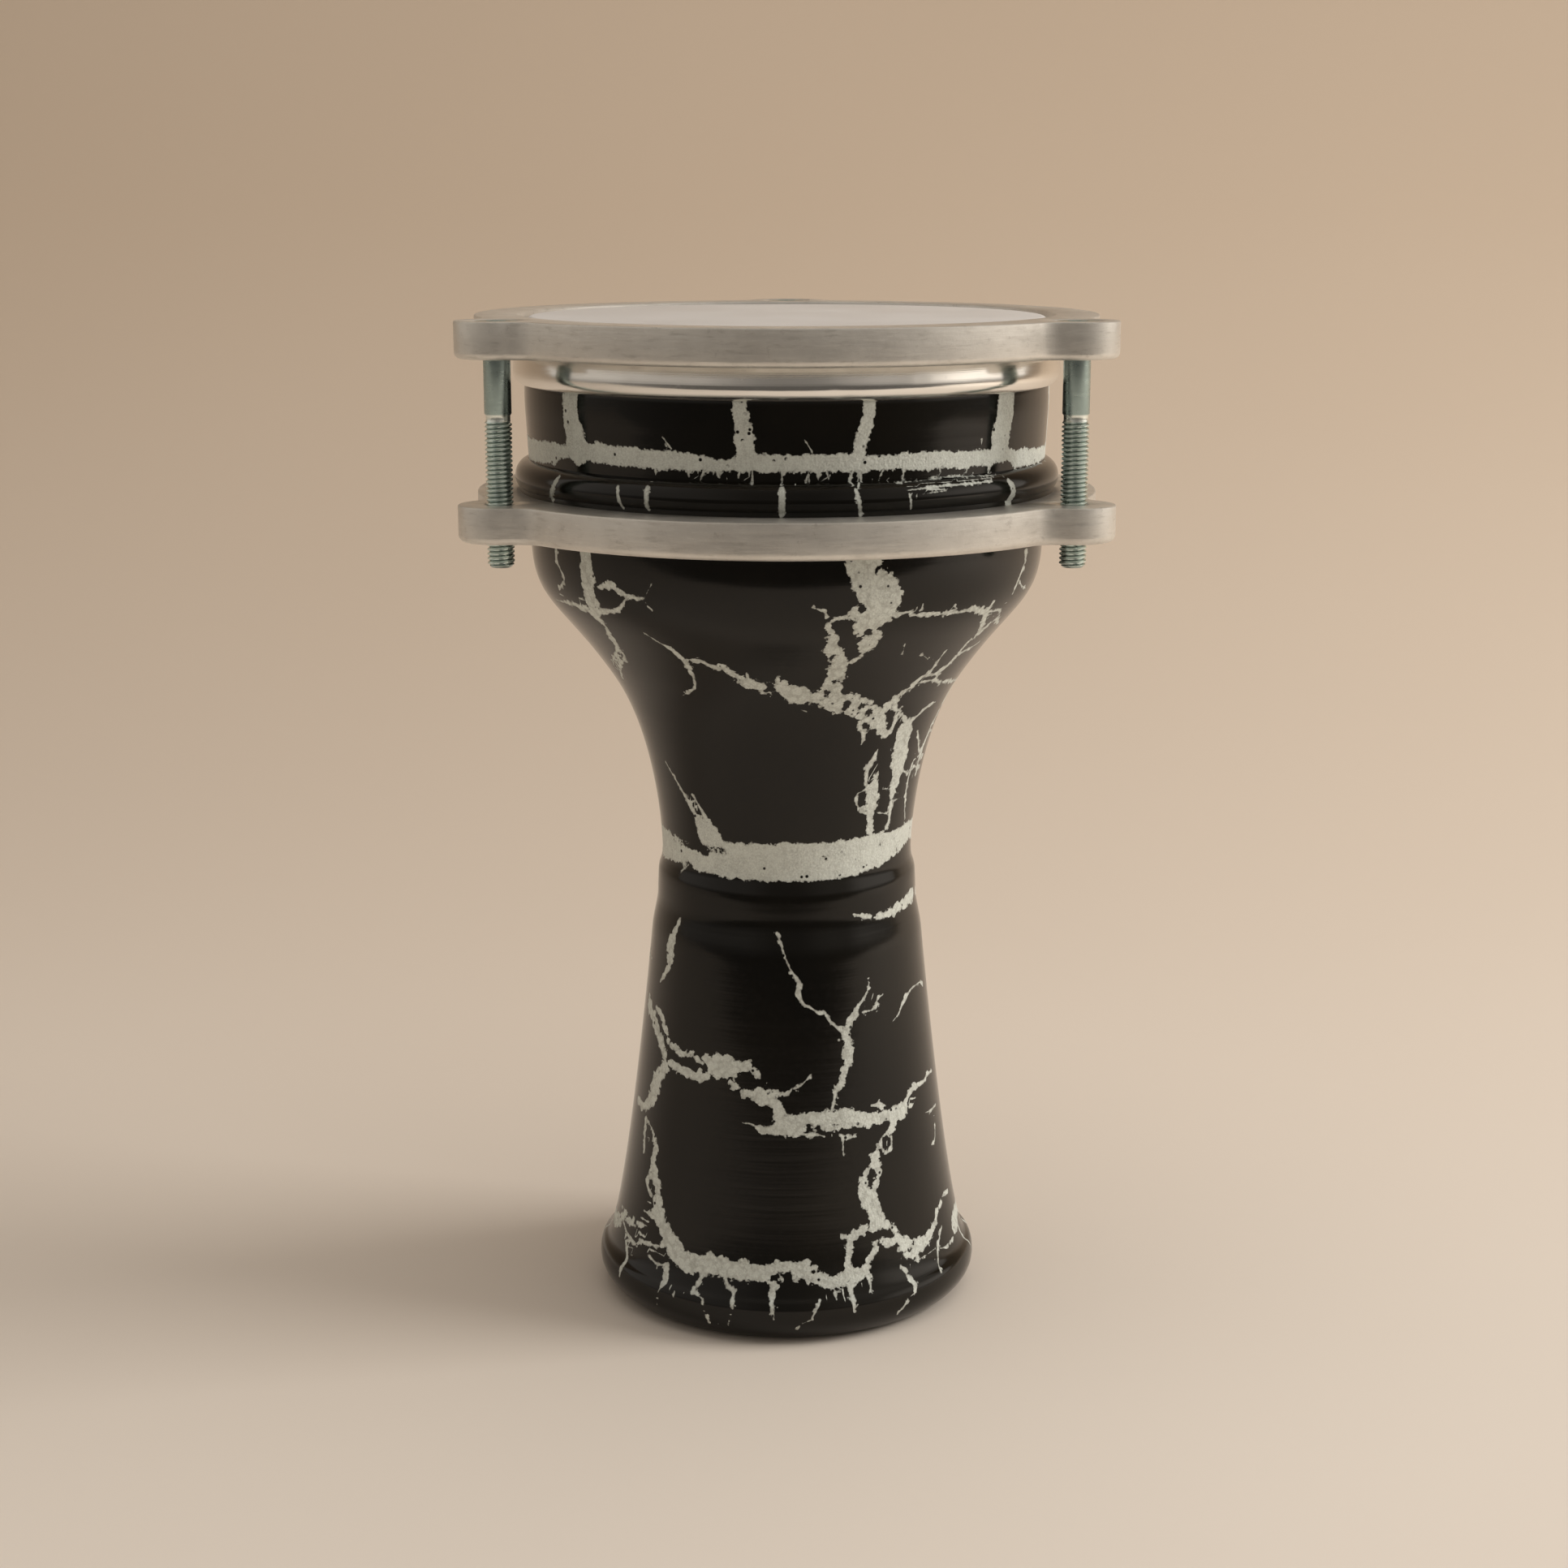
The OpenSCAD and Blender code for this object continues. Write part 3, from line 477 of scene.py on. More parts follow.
class PaintMap:
    """How far each vertex of the shell lies inside the silver, in mm, for wide and for hair strokes."""

    def __init__(self, points):
        spots = np.array(points) / MM
        self.angle = np.degrees(np.arctan2(spots[:, 0], -spots[:, 1]))
        self.height = spots[:, 2]
        self.radius = np.hypot(spots[:, 0], spots[:, 1])
        self.edge = np.full(len(spots), -FAR)
        self.hair = np.zeros((len(spots), 3))
        self.hair[:, 2] = -FAR
        self.hair_value = np.full(len(spots), -3 * FAR)

    def add_segment(self, start, end):
        """A stretch of stroke between two points."""
        angle = self.angle if max(start[0], end[0]) < FRONT_END else self.angle % 360
        reach = max(start[2], end[2]) / 2 + FAR
        margin = np.degrees(reach / np.maximum(self.radius, 20))
        near = np.nonzero(
            (angle > min(start[0], end[0]) - margin) & (angle < max(start[0], end[0]) + margin)
            & (self.height > min(start[1], end[1]) - reach) & (self.height < max(start[1], end[1]) + reach)
        )[0]
        if not len(near):
            return
        scale = np.radians(self.radius[near])
        across = (angle[near] - start[0]) * scale
        up = self.height[near] - start[1]
        step_across = (end[0] - start[0]) * scale
        step_up = end[1] - start[1]
        share = (across * step_across + up * step_up) / np.maximum(step_across**2 + step_up**2, 1e-9)
        share = np.clip(share, 0, 1)
        off_across = across - share * step_across
        off_up = up - share * step_up
        half = (start[2] + (end[2] - start[2]) * share) / 2
        value = half - np.hypot(off_across, off_up)
        self.edge[near] = np.maximum(self.edge[near], value)
        thin = (half < HAIR_HALF) & (value > self.hair_value[near])
        chosen = near[thin]
        self.hair_value[chosen] = value[thin]
        self.hair[chosen, 0] = off_across[thin]
        self.hair[chosen, 1] = off_up[thin]
        self.hair[chosen, 2] = np.where(value[thin] > -1.7, half[thin], -FAR)

    def add_stroke(self, stroke):
        """A stroke through all its points."""
        for start, end in zip(stroke, stroke[1:]):
            self.add_segment(start, end)

    def add_band(self, band):
        """A band round the whole drum."""
        angles, lows, highs = (list(column) for column in zip(*band))
        low = np.interp(self.angle, angles, lows, period=360)
        high = np.interp(self.angle, angles, highs, period=360)
        self.edge = np.maximum(self.edge, np.minimum(self.height - low, high - self.height))

    def cut_spot(self, angle, height, wide, tall):
        """An oval of enamel left standing."""
        across = np.radians(self.angle - angle) * self.radius / (wide / 2)
        up = (self.height - height) / (tall / 2)
        depth = (1 - np.hypot(across, up)) * min(wide, tall) / 2
        near = depth > -2
        self.edge[near] = np.minimum(self.edge[near], -depth[near])


def paint_shell(shell, outside):
    """Stores the crackle on the shell's outside vertices; the inside stays plain enamel."""
    count = len(shell.data.vertices)
    points = [shell.data.vertices[i].co[:] for i in range(outside)]
    paint = PaintMap(points)
    for band in (WAIST_BAND, WALL_BAND):
        paint.add_band(band)
    for strokes in (BOWL_STROKES, CONE_STROKES, FOOT_STROKES, WALL_STROKES, back_strokes()):
        for stroke in strokes:
            paint.add_stroke(stroke)
    rng = random.Random(DRIP_SEED)
    for angle in HAIR_DRIPS + list(range(80, 284, 9)):
        drop = rng.uniform(1.2, 2.2)
        paint.add_stroke([(angle, 206, 0.8), (angle + rng.uniform(-1, 1), 205.5 - drop, 0.5)])
    for spot in ISLANDS:
        paint.cut_spot(*spot)
    for angle, height in PITS:
        paint.cut_spot(angle, height, 1.4, 1.4)
    edge = np.full(count, -FAR)
    edge[:outside] = np.clip(paint.edge, -FAR, FAR)
    hair = np.zeros((count, 3))
    hair[:, 2] = -FAR
    hair[:outside] = paint.hair
    store(shell, "paint_edge", "FLOAT", "value", edge)
    store(shell, "paint_hair", "FLOAT_VECTOR", "vector", hair.ravel())


# ---- pieces
SHANK_R = 3 * MM
NECK_R = SHANK_R - 0.3 * MM
PITCH = 1 * MM
THREAD_DEPTH = 0.52 * MM
THREAD_LENGTH = 32.4 * MM


def make_shell():
    """The cast shell: the CAD outline, smoothed and turned, dense outside and coarser inside."""
    path = seam_loop("cast_shell")
    top = max(range(len(path)), key=lambda i: path[i][1])
    outer = smooth_path(path[:top + 1], 1.15 * MM, closed=False)
    inner = smooth_path(path[top:] + path[:1], 3 * MM, closed=False)[1:-1]
    inner_steps = 85
    share = 4
    steps = inner_steps * share
    rows = [circle_row(r, z, steps) for r, z in outer]
    points, faces = loft(rows)
    outside = len(points)
    inner_rows = [circle_row(r, z, inner_steps) for r, z in inner]
    inner_points, inner_faces = loft(inner_rows)
    points += inner_points
    faces += [tuple(outside + i for i in face) for face in inner_faces]
    last_outer = (len(rows) - 1) * steps
    last_inner = outside + (len(inner_rows) - 1) * inner_steps
    for k in range(inner_steps):
        n = (k + 1) % inner_steps
        rim = [last_outer + (k * share + j) % steps for j in range(share + 1)]
        faces.append(tuple(rim + [outside + n, outside + k]))
        foot = [(k * share + j) % steps for j in range(share + 1)]
        faces.append(tuple(foot[::-1] + [last_inner + k, last_inner + n]))
    shell = mesh_object("shell", points, faces, 40)
    paint_shell(shell, outside)
    return shell


def lug_outline(rim, lug, circle, blend, inset, height):
    """One level of a three-lug ring's outside, pulled in by inset, counter-clockwise."""
    reach = rim + blend
    alpha = math.acos((circle**2 + reach**2 - (lug + blend) ** 2) / (2 * circle * reach))
    points = []

    def arc(centre, radius, start, end, steps):
        for k in range(steps):
            x, y = polar(radius, start + (end - start) * k / steps)
            points.append((centre[0] + x, centre[1] + y, height))

    bearings = [math.atan2(y, x) for x, y, _ in SCREWS.values()]
    for at in sorted(bearings, key=lambda bearing: bearing % (2 * math.pi)):
        lug_centre = polar(circle, at)
        before = polar(reach, at - alpha)
        after = polar(reach, at + alpha)
        to_lug = math.atan2(lug_centre[1] - before[1], lug_centre[0] - before[0])
        from_rim = at - alpha + math.pi
        sweep = (to_lug - from_rim + math.pi) % (2 * math.pi) - math.pi
        arc(before, blend + inset, from_rim, from_rim + sweep, 10)
        lug_start = to_lug + math.pi
        half = (at - lug_start + math.pi) % (2 * math.pi) - math.pi
        arc(lug_centre, lug - inset, lug_start, lug_start + 2 * half, 30)
        back = lug_start + 2 * half + math.pi
        arc(after, blend + inset, back, back + sweep, 10)
        arc((0, 0), rim - inset, at + alpha, at + 2 * math.pi / 3 - alpha, 80)
    return points


def bore_row(outline, radius, height):
    """The bore's points, each on the same ray as the outline's."""
    row = []
    for x, y, _ in outline:
        size = math.hypot(x, y)
        row.append((x / size * radius, y / size * radius, height))
    return row


def make_ring(node, bottom_round, top_round, cutter_rows):
    """A cast ring with three lugs, its edges rounded, drilled by one cutter at each screw."""
    low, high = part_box(node)
    bottom, top = low[2], high[2]
    rim = -low[1]
    circle = SCREWS["screw_back"][1]
    lug = high[1] - circle
    bore = min(math.hypot(p.x, p.y) for p in world_points(node))
    blend = 7 * MM
    chamfer = 0.35 * MM
    rows = []

    def level(inset, height):
        rows.append(lug_outline(rim, lug, circle, blend, inset, height))

    bottom_steps = 5
    for k in range(bottom_steps + 1):
        turn = math.pi / 2 * k / bottom_steps
        level(bottom_round * (1 - math.sin(turn)), bottom + bottom_round * (1 - math.cos(turn)))
    top_steps = 3
    for k in range(top_steps + 1):
        turn = math.pi / 2 * k / top_steps
        level(top_round * (1 - math.cos(turn)), top - top_round * (1 - math.sin(turn)))
    shape = rows[bottom_steps]
    rows.append(bore_row(shape, bore + chamfer, top))
    rows.append(bore_row(shape, bore, top - chamfer))
    rows.append(bore_row(shape, bore, bottom + chamfer))
    rows.append(bore_row(shape, bore + chamfer, bottom))
    ring = mesh_object(node + "_cast", *loft(rows, closed=True), 50)
    for name in SCREW_NAMES:
        drill(ring, SCREWS[name], cutter_rows)
    return ring


def drill(obj, position, profile):
    """Cuts a turned profile out of obj at a screw's place."""
    points, faces = capped_loft([circle_row(r, z, 48) for r, z in profile])
    cutter = mesh_object("cutter", moved(points, position), faces)
    cut = obj.modifiers.new("hole", "BOOLEAN")
    cut.object = cutter
    cut.operation = "DIFFERENCE"
    cut.solver = "EXACT"
    evaluated = obj.evaluated_get(bpy.context.evaluated_depsgraph_get())
    obj.data = bpy.data.meshes.new_from_object(evaluated)
    obj.modifiers.remove(cut)
    shade(obj.data, 50)
    bpy.data.objects.remove(cutter)


def make_turned(node, name, step, steps, closed):
    """A turned piece from its CAD outline."""
    path = smooth_path(seam_loop(node), step, closed)
    rows = [circle_row(max(r, 1e-5), z, steps) for r, z in path]
    points, faces = loft(rows, closed)
    if not closed:
        faces.append(tuple(range(steps)))
        faces.append(tuple(range((len(rows) - 1) * steps, len(rows) * steps)))
    return mesh_object(name, points, faces)


def add_dents(hoop, dents):
    """Crowns the hoop's outer wall and dents it: (degrees from front, height, width, depth) in mm.

    The wall leans in above crown_from and tucks in below tuck_to, and stands straight between them.
    """
    low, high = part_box("head_hoop")
    outer = high[0] / MM
    wall = 1.3
    crown_from = low[2] / MM + 3.5
    tuck_to = low[2] / MM + 1.7
    for vertex in hoop.data.vertices:
        x, y, z = (value / MM for value in vertex.co)
        radius = math.hypot(x, y)
        angle = math.degrees(math.atan2(x, -y))
        share = min(1, max(0, (radius - outer + wall) / wall))
        lift = z - crown_from
        drop = tuck_to - z
        crown = 0.085 * (lift + math.sqrt(lift * lift + 0.5))
        tuck = 0.09 * (drop + math.sqrt(drop * drop + 0.3))
        push = share * (crown + tuck)
        for at, height, width, depth in dents:
            away = math.hypot(math.radians(angle - at) * radius, z - height) / width
            push += depth * math.exp(-away * away)
        if push > 1e-4:
            vertex.co.x *= 1 - push / radius
            vertex.co.y *= 1 - push / radius


def thread_radius(turn, above):
    """The right-hand thread's radius at a height above the tip, chamfered there and fading out on top."""
    phase = (above / PITCH - turn / (2 * math.pi)) % 1
    groove = abs(2 * phase - 1)
    radius = SHANK_R - THREAD_DEPTH * max(0, min(1, 1.7 * groove - 0.6))
    chamfer = SHANK_R - 0.8 * MM + above
    fade = 0.6 * MM
    blend = max(0, min(1, (above - THREAD_LENGTH + fade) / fade))
    return min(chamfer, radius * (1 - blend) + NECK_R * blend)


def hexagon_radius(turn, across):
    """The radius of a hexagon so wide across its flats."""
    return across / 2 / math.cos((turn + math.pi / 6) % (math.pi / 3) - math.pi / 6)


def make_screw(name):
    """A socket screw: tip, right-hand thread, run-out band, shank and low head with a hex socket."""
    low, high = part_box(name)
    tip, top = low[2], high[2]
    head_r = (high[0] - low[0]) / 2
    head_low = top - 4 * MM
    runout = tip + THREAD_LENGTH
    steps = 48
    turns = [2 * math.pi * k / steps for k in range(steps)]
    rows = []
    levels = round(9 * THREAD_LENGTH / PITCH)
    for k in range(levels + 1):
        above = THREAD_LENGTH * k / levels
        rows.append([(*polar(thread_radius(turn, above), turn), tip + above) for turn in turns])
    profile = [
        (NECK_R, runout + 1.1 * MM), (SHANK_R, runout + 1.5 * MM), (SHANK_R, head_low),
        (head_r - 0.25 * MM, head_low), (head_r, head_low + 0.25 * MM), (head_r, top - 0.5 * MM),
        (head_r - 0.15 * MM, top - 0.15 * MM), (head_r - 0.5 * MM, top),
    ]
    rows += [circle_row(r, z, steps) for r, z in profile]
    for across, height in [(4.5, top), (4.0, top - 0.25 * MM), (4.0, top - 2.3 * MM)]:
        rows.append([(*polar(hexagon_radius(turn, across * MM), turn), height) for turn in turns])
    rows.append(circle_row(0.3 * MM, top - 2.9 * MM, steps))
    points, faces = capped_loft(rows)
    # How deep each point lies in the thread's groove; the zinc material paints shade into the roots from
    # it.
    depths = [(SHANK_R - math.hypot(x, y)) / THREAD_DEPTH if z < runout else 0 for x, y, z in points]
    obj = mesh_object(name + "_threaded", moved(points, SCREWS[name]), faces, 40)
    store(obj, "groove", "FLOAT", "value", [min(1, max(0, value)) for value in depths])
    return obj


# ---- materials
class Nodes:
    """Short names for building the nodes of a material or a world."""

    def __init__(self, owner, coordinates="Object"):
        owner.use_nodes = True
        self.owner = owner
        self.tree = owner.node_tree
        self.position = self.new("TexCoord").outputs[coordinates]

    def link(self, source, target):
        """Links an output to an input, or sets the input to a plain value."""
        if isinstance(source, (int, float, tuple)):
            target.default_value = source
        else:
            self.tree.links.new(source, target)

    def new(self, kind, **inputs):
        """A new node of a kind, its inputs linked or set; an underscore in a name is a space."""
        node = self.tree.nodes.new("ShaderNode" + kind)
        for name, value in inputs.items():
            self.link(value, node.inputs[name.replace("_", " ")])
        return node

    def part(self, vector, axis):
        """One axis of a vector."""
        return self.new("SeparateXYZ", Vector=vector).outputs[axis]

    def math(self, operation, a, b=0.0):
        """A math node's output."""
        node = self.new("Math")
        node.operation = operation
        self.link(a, node.inputs[0])
        self.link(b, node.inputs[1])
        return node.outputs[0]

    def add(self, a, b):
        """The sum."""
        return self.math("ADD", a, b)

    def times(self, a, b):
        """The product."""
        return self.math("MULTIPLY", a, b)

    def noise(self, scale, detail, roughness=0.55, vector=None):
        """Noise from 0 to 1 with cells 1 / scale metres wide."""
        vector = vector or self.position
        node = self.new("TexNoise", Vector=vector, Scale=scale, Detail=detail, Roughness=roughness)
        return node.outputs["Fac"]

    def cells(self, scale):
        """The distance from the middle of Voronoi cells 1 / scale metres wide."""
        return self.new("TexVoronoi", Vector=self.position, Scale=scale).outputs["Distance"]

    def stretch(self, x, y, z):
        """The position scaled by axis, for marks that run one way."""
        node = self.new("VectorMath")
        node.operation = "MULTIPLY"
        self.link(self.position, node.inputs[0])
        self.link((x, y, z), node.inputs[1])
        return node.outputs[0]

    def ramp(self, value, low, high, to_low=0.0, to_high=1.0, smooth=False):
        """Maps low..high to new values, clamped."""
        node = self.new("MapRange", Value=value, From_Min=low, From_Max=high, To_Min=to_low, To_Max=to_high)
        node.interpolation_type = "SMOOTHSTEP" if smooth else "LINEAR"
        return node.outputs["Result"]

    def mix(self, share, a, b):
        """A colour between a and b."""
        node = self.new("Mix")
        node.data_type = "RGBA"
        sockets = [socket for socket in node.inputs if socket.type == "RGBA"]
        self.link(share, node.inputs[0])
        for colour, socket in zip((a, b), sockets):
            self.link((*colour, 1.0) if isinstance(colour, tuple) else colour, socket)
        return [socket for socket in node.outputs if socket.type == "RGBA"][0]

    def bump(self, height, distance, normal=None):
        """A bump of so many metres for a height from 0 to 1."""
        node = self.new("Bump", Strength=1.0, Distance=distance, Height=height)
        if normal:
            self.link(normal, node.inputs["Normal"])
        return node.outputs["Normal"]

    def attribute(self, name, output):
        """A stored mesh attribute."""
        node = self.new("Attribute")
        node.attribute_name = name
        return node.outputs[output]

    def surface(self, colour, roughness, metallic, normal=None, specular=0.5):
        """Feeds the shader and returns the material."""
        inputs = self.tree.nodes["Principled BSDF"].inputs
        self.link(colour, inputs["Base Color"])
        self.link(roughness, inputs["Roughness"])
        self.link(metallic, inputs["Metallic"])
        inputs["Specular IOR Level"].default_value = specular
        if normal:
            self.link(normal, inputs["Normal"])
        return self.owner


def new_material(name):
    """The nodes of a new material."""
    return Nodes(bpy.data.materials.new(name))


def lumpiness(n):
    """How pebbly the silver is by height, which also sets how much painted shade lies in its creases: full
    on the foot, cone and bowl, less on both bands.
    """
    z = n.part(n.position, "Z")
    lumpy = n.ramp(z, 0.098, 0.104, 1.0, 0.35)
    lumpy = n.add(lumpy, n.ramp(z, 0.120, 0.126, 0.0, 0.65))
    return n.add(lumpy, n.ramp(z, 0.188, 0.194, 0.0, -0.65))


def crackle_depth(n, lumpy):
    """How far a spot lies inside the silver, in mm, with its ragged edge."""
    hair = n.attribute("paint_hair", "Vector")
    across = n.part(hair, "X")
    up = n.part(hair, "Y")
    away = n.math("SQRT", n.add(n.times(across, across), n.times(up, up)))
    thin = n.math("SUBTRACT", n.part(hair, "Z"), away)
    lumps = n.times(n.ramp(n.cells(520), 0, 0.8, 0.6, -0.6), lumpy)
    ragged = n.add(lumps, n.ramp(n.noise(1500, 3), 0.3, 0.7, -0.3, 0.3))
    ragged = n.add(ragged, n.ramp(n.noise(350, 2), 0.3, 0.7, -0.3, 0.3))
    wide = n.add(n.attribute("paint_edge", "Fac"), ragged)
    return n.math("MAXIMUM", wide, n.add(thin, n.times(ragged, 0.42)))


def silver_colour(n, depth, lumpy):
    """Blotched, grainy silver paint, with painted shade in the creases between its pebbles, and dark along
    its edge.
    """
    colour = n.mix(n.ramp(n.noise(240, 3), 0.35, 0.65), (0.50, 0.525, 0.49), (0.62, 0.655, 0.61))
    colour = n.mix(n.ramp(n.noise(2600, 2), 0.3, 0.75), colour, (0.76, 0.80, 0.75))
    # Painted shade: the silver is darkened where the creases between its pebbles lie.
    crease_shade = n.ramp(n.cells(800), 0.45, 0.8, 0, 0.3)
    colour = n.mix(n.times(crease_shade, lumpy), colour, (0.2, 0.195, 0.165))
    return n.mix(n.ramp(depth, 0.0, 0.35, 0.5, 1.0), (0.08, 0.07, 0.055), colour)


def enamel_material():
    """Gloss black enamel broken by a matte, pebbly silver crackle."""
    n = new_material("crackle_enamel")
    lumpy = lumpiness(n)
    depth = crackle_depth(n, lumpy)
    pits = n.ramp(n.cells(430), 0.13, 0.2)
    pitted = n.math("MAXIMUM", pits, n.ramp(n.noise(190, 1), 0.50, 0.56, 1, 0))
    silver = n.times(n.ramp(depth, -0.05, 0.1, smooth=True), pitted)
    enamel = n.mix(n.ramp(n.noise(30, 3), 0.35, 0.65), (0.0022, 0.002, 0.0013), (0.006, 0.005, 0.003))
    colour = n.mix(silver, enamel, silver_colour(n, depth, lumpy))
    gloss = n.ramp(n.noise(900, 3), 0.35, 0.7, 0.10, 0.17)
    roughness = n.math("MAXIMUM", n.mix(silver, (0.13, 0.13, 0.13), (0.52, 0.52, 0.52)), gloss)
    pebbles = n.add(n.times(n.cells(1500), 0.6), n.times(n.noise(1200, 4), 0.8))
    relief = n.add(n.times(silver, -0.55), n.times(n.times(pebbles, silver), 0.55))
    ripple = n.add(n.noise(1.0, 2, vector=n.stretch(18, 18, 420)), n.times(n.noise(45, 2), 2.0))
    normal = n.bump(ripple, 0.00002, n.bump(relief, 0.00022))
    return n.surface(colour, roughness, n.times(silver, 0.3), normal, specular=0.34)


def casting_material():
    """Satin cast aluminium, brushed round, with dark smudges and pale and dark scores."""
    n = new_material("ring_casting")
    brushed = n.noise(1.0, 4, vector=n.stretch(120, 120, 1500))
    smudge = n.noise(55, 5, 0.65)
    spots = n.noise(420, 4, 0.7)
    colour = n.mix(n.ramp(smudge, 0.35, 0.7), (0.66, 0.635, 0.59), (0.80, 0.78, 0.73))
    colour = n.mix(n.ramp(spots, 0.62, 0.75, 0, 0.28), colour, (0.22, 0.2, 0.17))
    scores = n.noise(1.0, 3, 0.6, vector=n.stretch(230, 230, 1100))
    colour = n.mix(n.ramp(scores, 0.56, 0.72, 0, 0.22), colour, (0.26, 0.24, 0.2))
    colour = n.mix(n.ramp(scores, 0.42, 0.3, 0, 0.35), colour, (0.85, 0.83, 0.78))
    relief = n.add(n.times(brushed, 0.5), n.times(spots, 0.6))
    return n.surface(colour, n.ramp(brushed, 0.3, 0.7, 0.34, 0.5), 0.75, n.bump(relief, 0.00011))


def hoop_material():
    """Polished aluminium with fine turning marks and a few scuffs."""
    n = new_material("hoop_polished")
    lines = n.noise(1.0, 3, vector=n.stretch(8, 8, 2500))
    waves = n.noise(60, 2)
    scuffs = n.noise(500, 5, 0.7)
    colour = n.mix(n.ramp(waves, 0.3, 0.7), (0.82, 0.80, 0.76), (0.9, 0.885, 0.85))
    roughness = n.add(n.ramp(lines, 0.3, 0.7, 0.12, 0.19), n.ramp(scuffs, 0.6, 0.75, 0, 0.15))
    relief = n.add(n.times(lines, 0.25), n.times(waves, 2.0))
    return n.surface(colour, roughness, 1.0, n.bump(relief, 0.00008))


def film_material():
    """Coated white drum film with a faint grain and worn patches."""
    n = new_material("head_film")
    worn = n.noise(26, 4, 0.6)
    colour = n.mix(n.ramp(worn, 0.35, 0.7), (0.55, 0.54, 0.53), (0.63, 0.62, 0.61))
    roughness = n.ramp(worn, 0.3, 0.7, 0.34, 0.46)
    return n.surface(colour, roughness, 0.0, n.bump(n.noise(1800, 3), 0.00002))


def zinc_material(name, tint, shine, shank_from=None):
    """Zinc plate with painted shade in a thread's roots; above a height, a pale run-out with a painted
    highlight and a darker shank with painted shade.
    """
    n = new_material(name)
    mottle = n.noise(260, 4, 0.6)
    marks = n.noise(1.0, 3, vector=n.stretch(300, 300, 1400))
    dark = tuple(0.9 * value for value in tint)
    colour = n.mix(n.ramp(mottle, 0.3, 0.7), dark, tint)
    # Painted shade: the thread's roots are darkened by their groove depth.
    root_shade = tuple(0.35 * value for value in tint)
    colour = n.mix(n.ramp(n.attribute("groove", "Fac"), 0.3, 0.9, 0, 0.75), colour, root_shade)
    if shank_from:
        z = n.part(n.position, "Z")
        # Painted highlight: the run-out band is paler than the rest of the plating.
        runout = n.ramp(z, shank_from - 1.4 * MM, shank_from - 1.1 * MM, 0, 0.85)
        colour = n.mix(runout, colour, (0.92, 0.96, 0.91))
        # Painted shade: the shank is darker than the threads.
        colour = n.mix(n.ramp(z, shank_from, shank_from + 0.4 * MM), colour, (0.36, 0.45, 0.44))
    roughness = n.ramp(marks, 0.3, 0.7, shine, shine + 0.14)
    return n.surface(colour, roughness, 1.0, n.bump(marks, 0.00001))


def paper_material():
    """The backdrop's warm paper, with painted shade making it darker towards the back."""
    n = new_material("paper")
    # Painted shade: the paper's colour darkens with distance back along the sweep.
    away = n.ramp(n.part(n.position, "Y"), -0.1, 1.0)
    colour = n.mix(away, (0.735, 0.665, 0.59), (0.60, 0.48, 0.365))
    colour = n.mix(n.ramp(n.noise(1.6, 2), 0.3, 0.7, 0, 0.06), colour, (0.9, 0.82, 0.72))
    return n.surface(colour, 0.85, 0.0)


def put_material(obj, material):
    """One material on the whole piece."""
    obj.data.materials.clear()
    obj.data.materials.append(material)


# ---- stage, lights, camera
def make_sweep():
    """Floor and backdrop in one curved sheet, and more floor in front that reflections leave out."""
    wide = 2.4
    front = -0.5
    start = 0.3
    radius = 1.1
    steps = 24
    path = [(front, 0.0), (start, 0.0)]
    for k in range(1, steps + 1):
        turn = math.pi / 2 * k / steps
        path.append((start + radius * math.sin(turn), radius - radius * math.cos(turn)))
    path.append((start + radius, 2.4))
    points = [(x, y, z) for y, z in path for x in (-wide, wide)]
    faces = [(2 * i, 2 * i + 1, 2 * i + 3, 2 * i + 2) for i in range(len(path) - 1)]
    sweep = mesh_object("sweep", points, faces, 60)
    corners = [(-wide, -2.6, 0), (wide, -2.6, 0), (wide, front, 0), (-wide, front, 0)]
    apron = mesh_object("apron", corners, [(0, 1, 2, 3)])
    apron.visible_glossy = False
    paper = paper_material()
    put_material(sweep, paper)
    put_material(apron, paper)


def soft_box(name, place, target, size, power):
    """A square light at a place, facing a target; reflections leave it out."""
    light = bpy.data.lights.new(name, "AREA")
    light.shape = "SQUARE"
    light.size = size
    light.energy = power
    light.color = (1.0, 0.97, 0.93)
    obj = bpy.data.objects.new(name, light)
    obj.location = place
    obj.rotation_euler = (Vector(target) - Vector(place)).to_track_quat("-Z", "Y").to_euler()
    obj.visible_glossy = False
    bpy.context.scene.collection.objects.link(obj)


def make_lights():
    """A key from the right, a broad light from above and the room itself."""
    soft_box("key", (1.3, -0.02, 0.8), (0, 0, 0.10), 0.7, 14)
    soft_box("top", (0.25, -0.1, 1.6), (0.05, 0.0, 0), 1.6, 8)
    make_world()


def make_world():
    """A warm room, dark behind the camera, with light walls and a window; the camera sees it plain."""
    world = bpy.data.worlds.new("room")
    bpy.context.scene.world = world
    n = Nodes(world, "Generated")
    x = n.part(n.position, "X")
    depth = n.ramp(n.part(n.position, "Y"), -0.85, 0.3, 0.115, 0.36, smooth=True)
    rise = n.ramp(n.part(n.position, "Z"), -0.05, 0.13, 0.0, 0.55, smooth=True)
    sideways = n.ramp(n.math("ABSOLUTE", x), 0.15, 0.65, 0.22, 0.66, smooth=True)
    window = n.ramp(x, 0.78, 0.97, 0.0, 1.7, smooth=True)
    level = n.add(n.add(depth, n.times(rise, sideways)), n.times(window, rise))
    seen = n.new("LightPath").outputs["Is Camera Ray"]
    background = n.tree.nodes["Background"].inputs
    background["Color"].default_value = (0.84, 0.76, 0.67, 1)
    n.link(n.math("MAXIMUM", level, n.times(seen, 0.62)), background["Strength"])


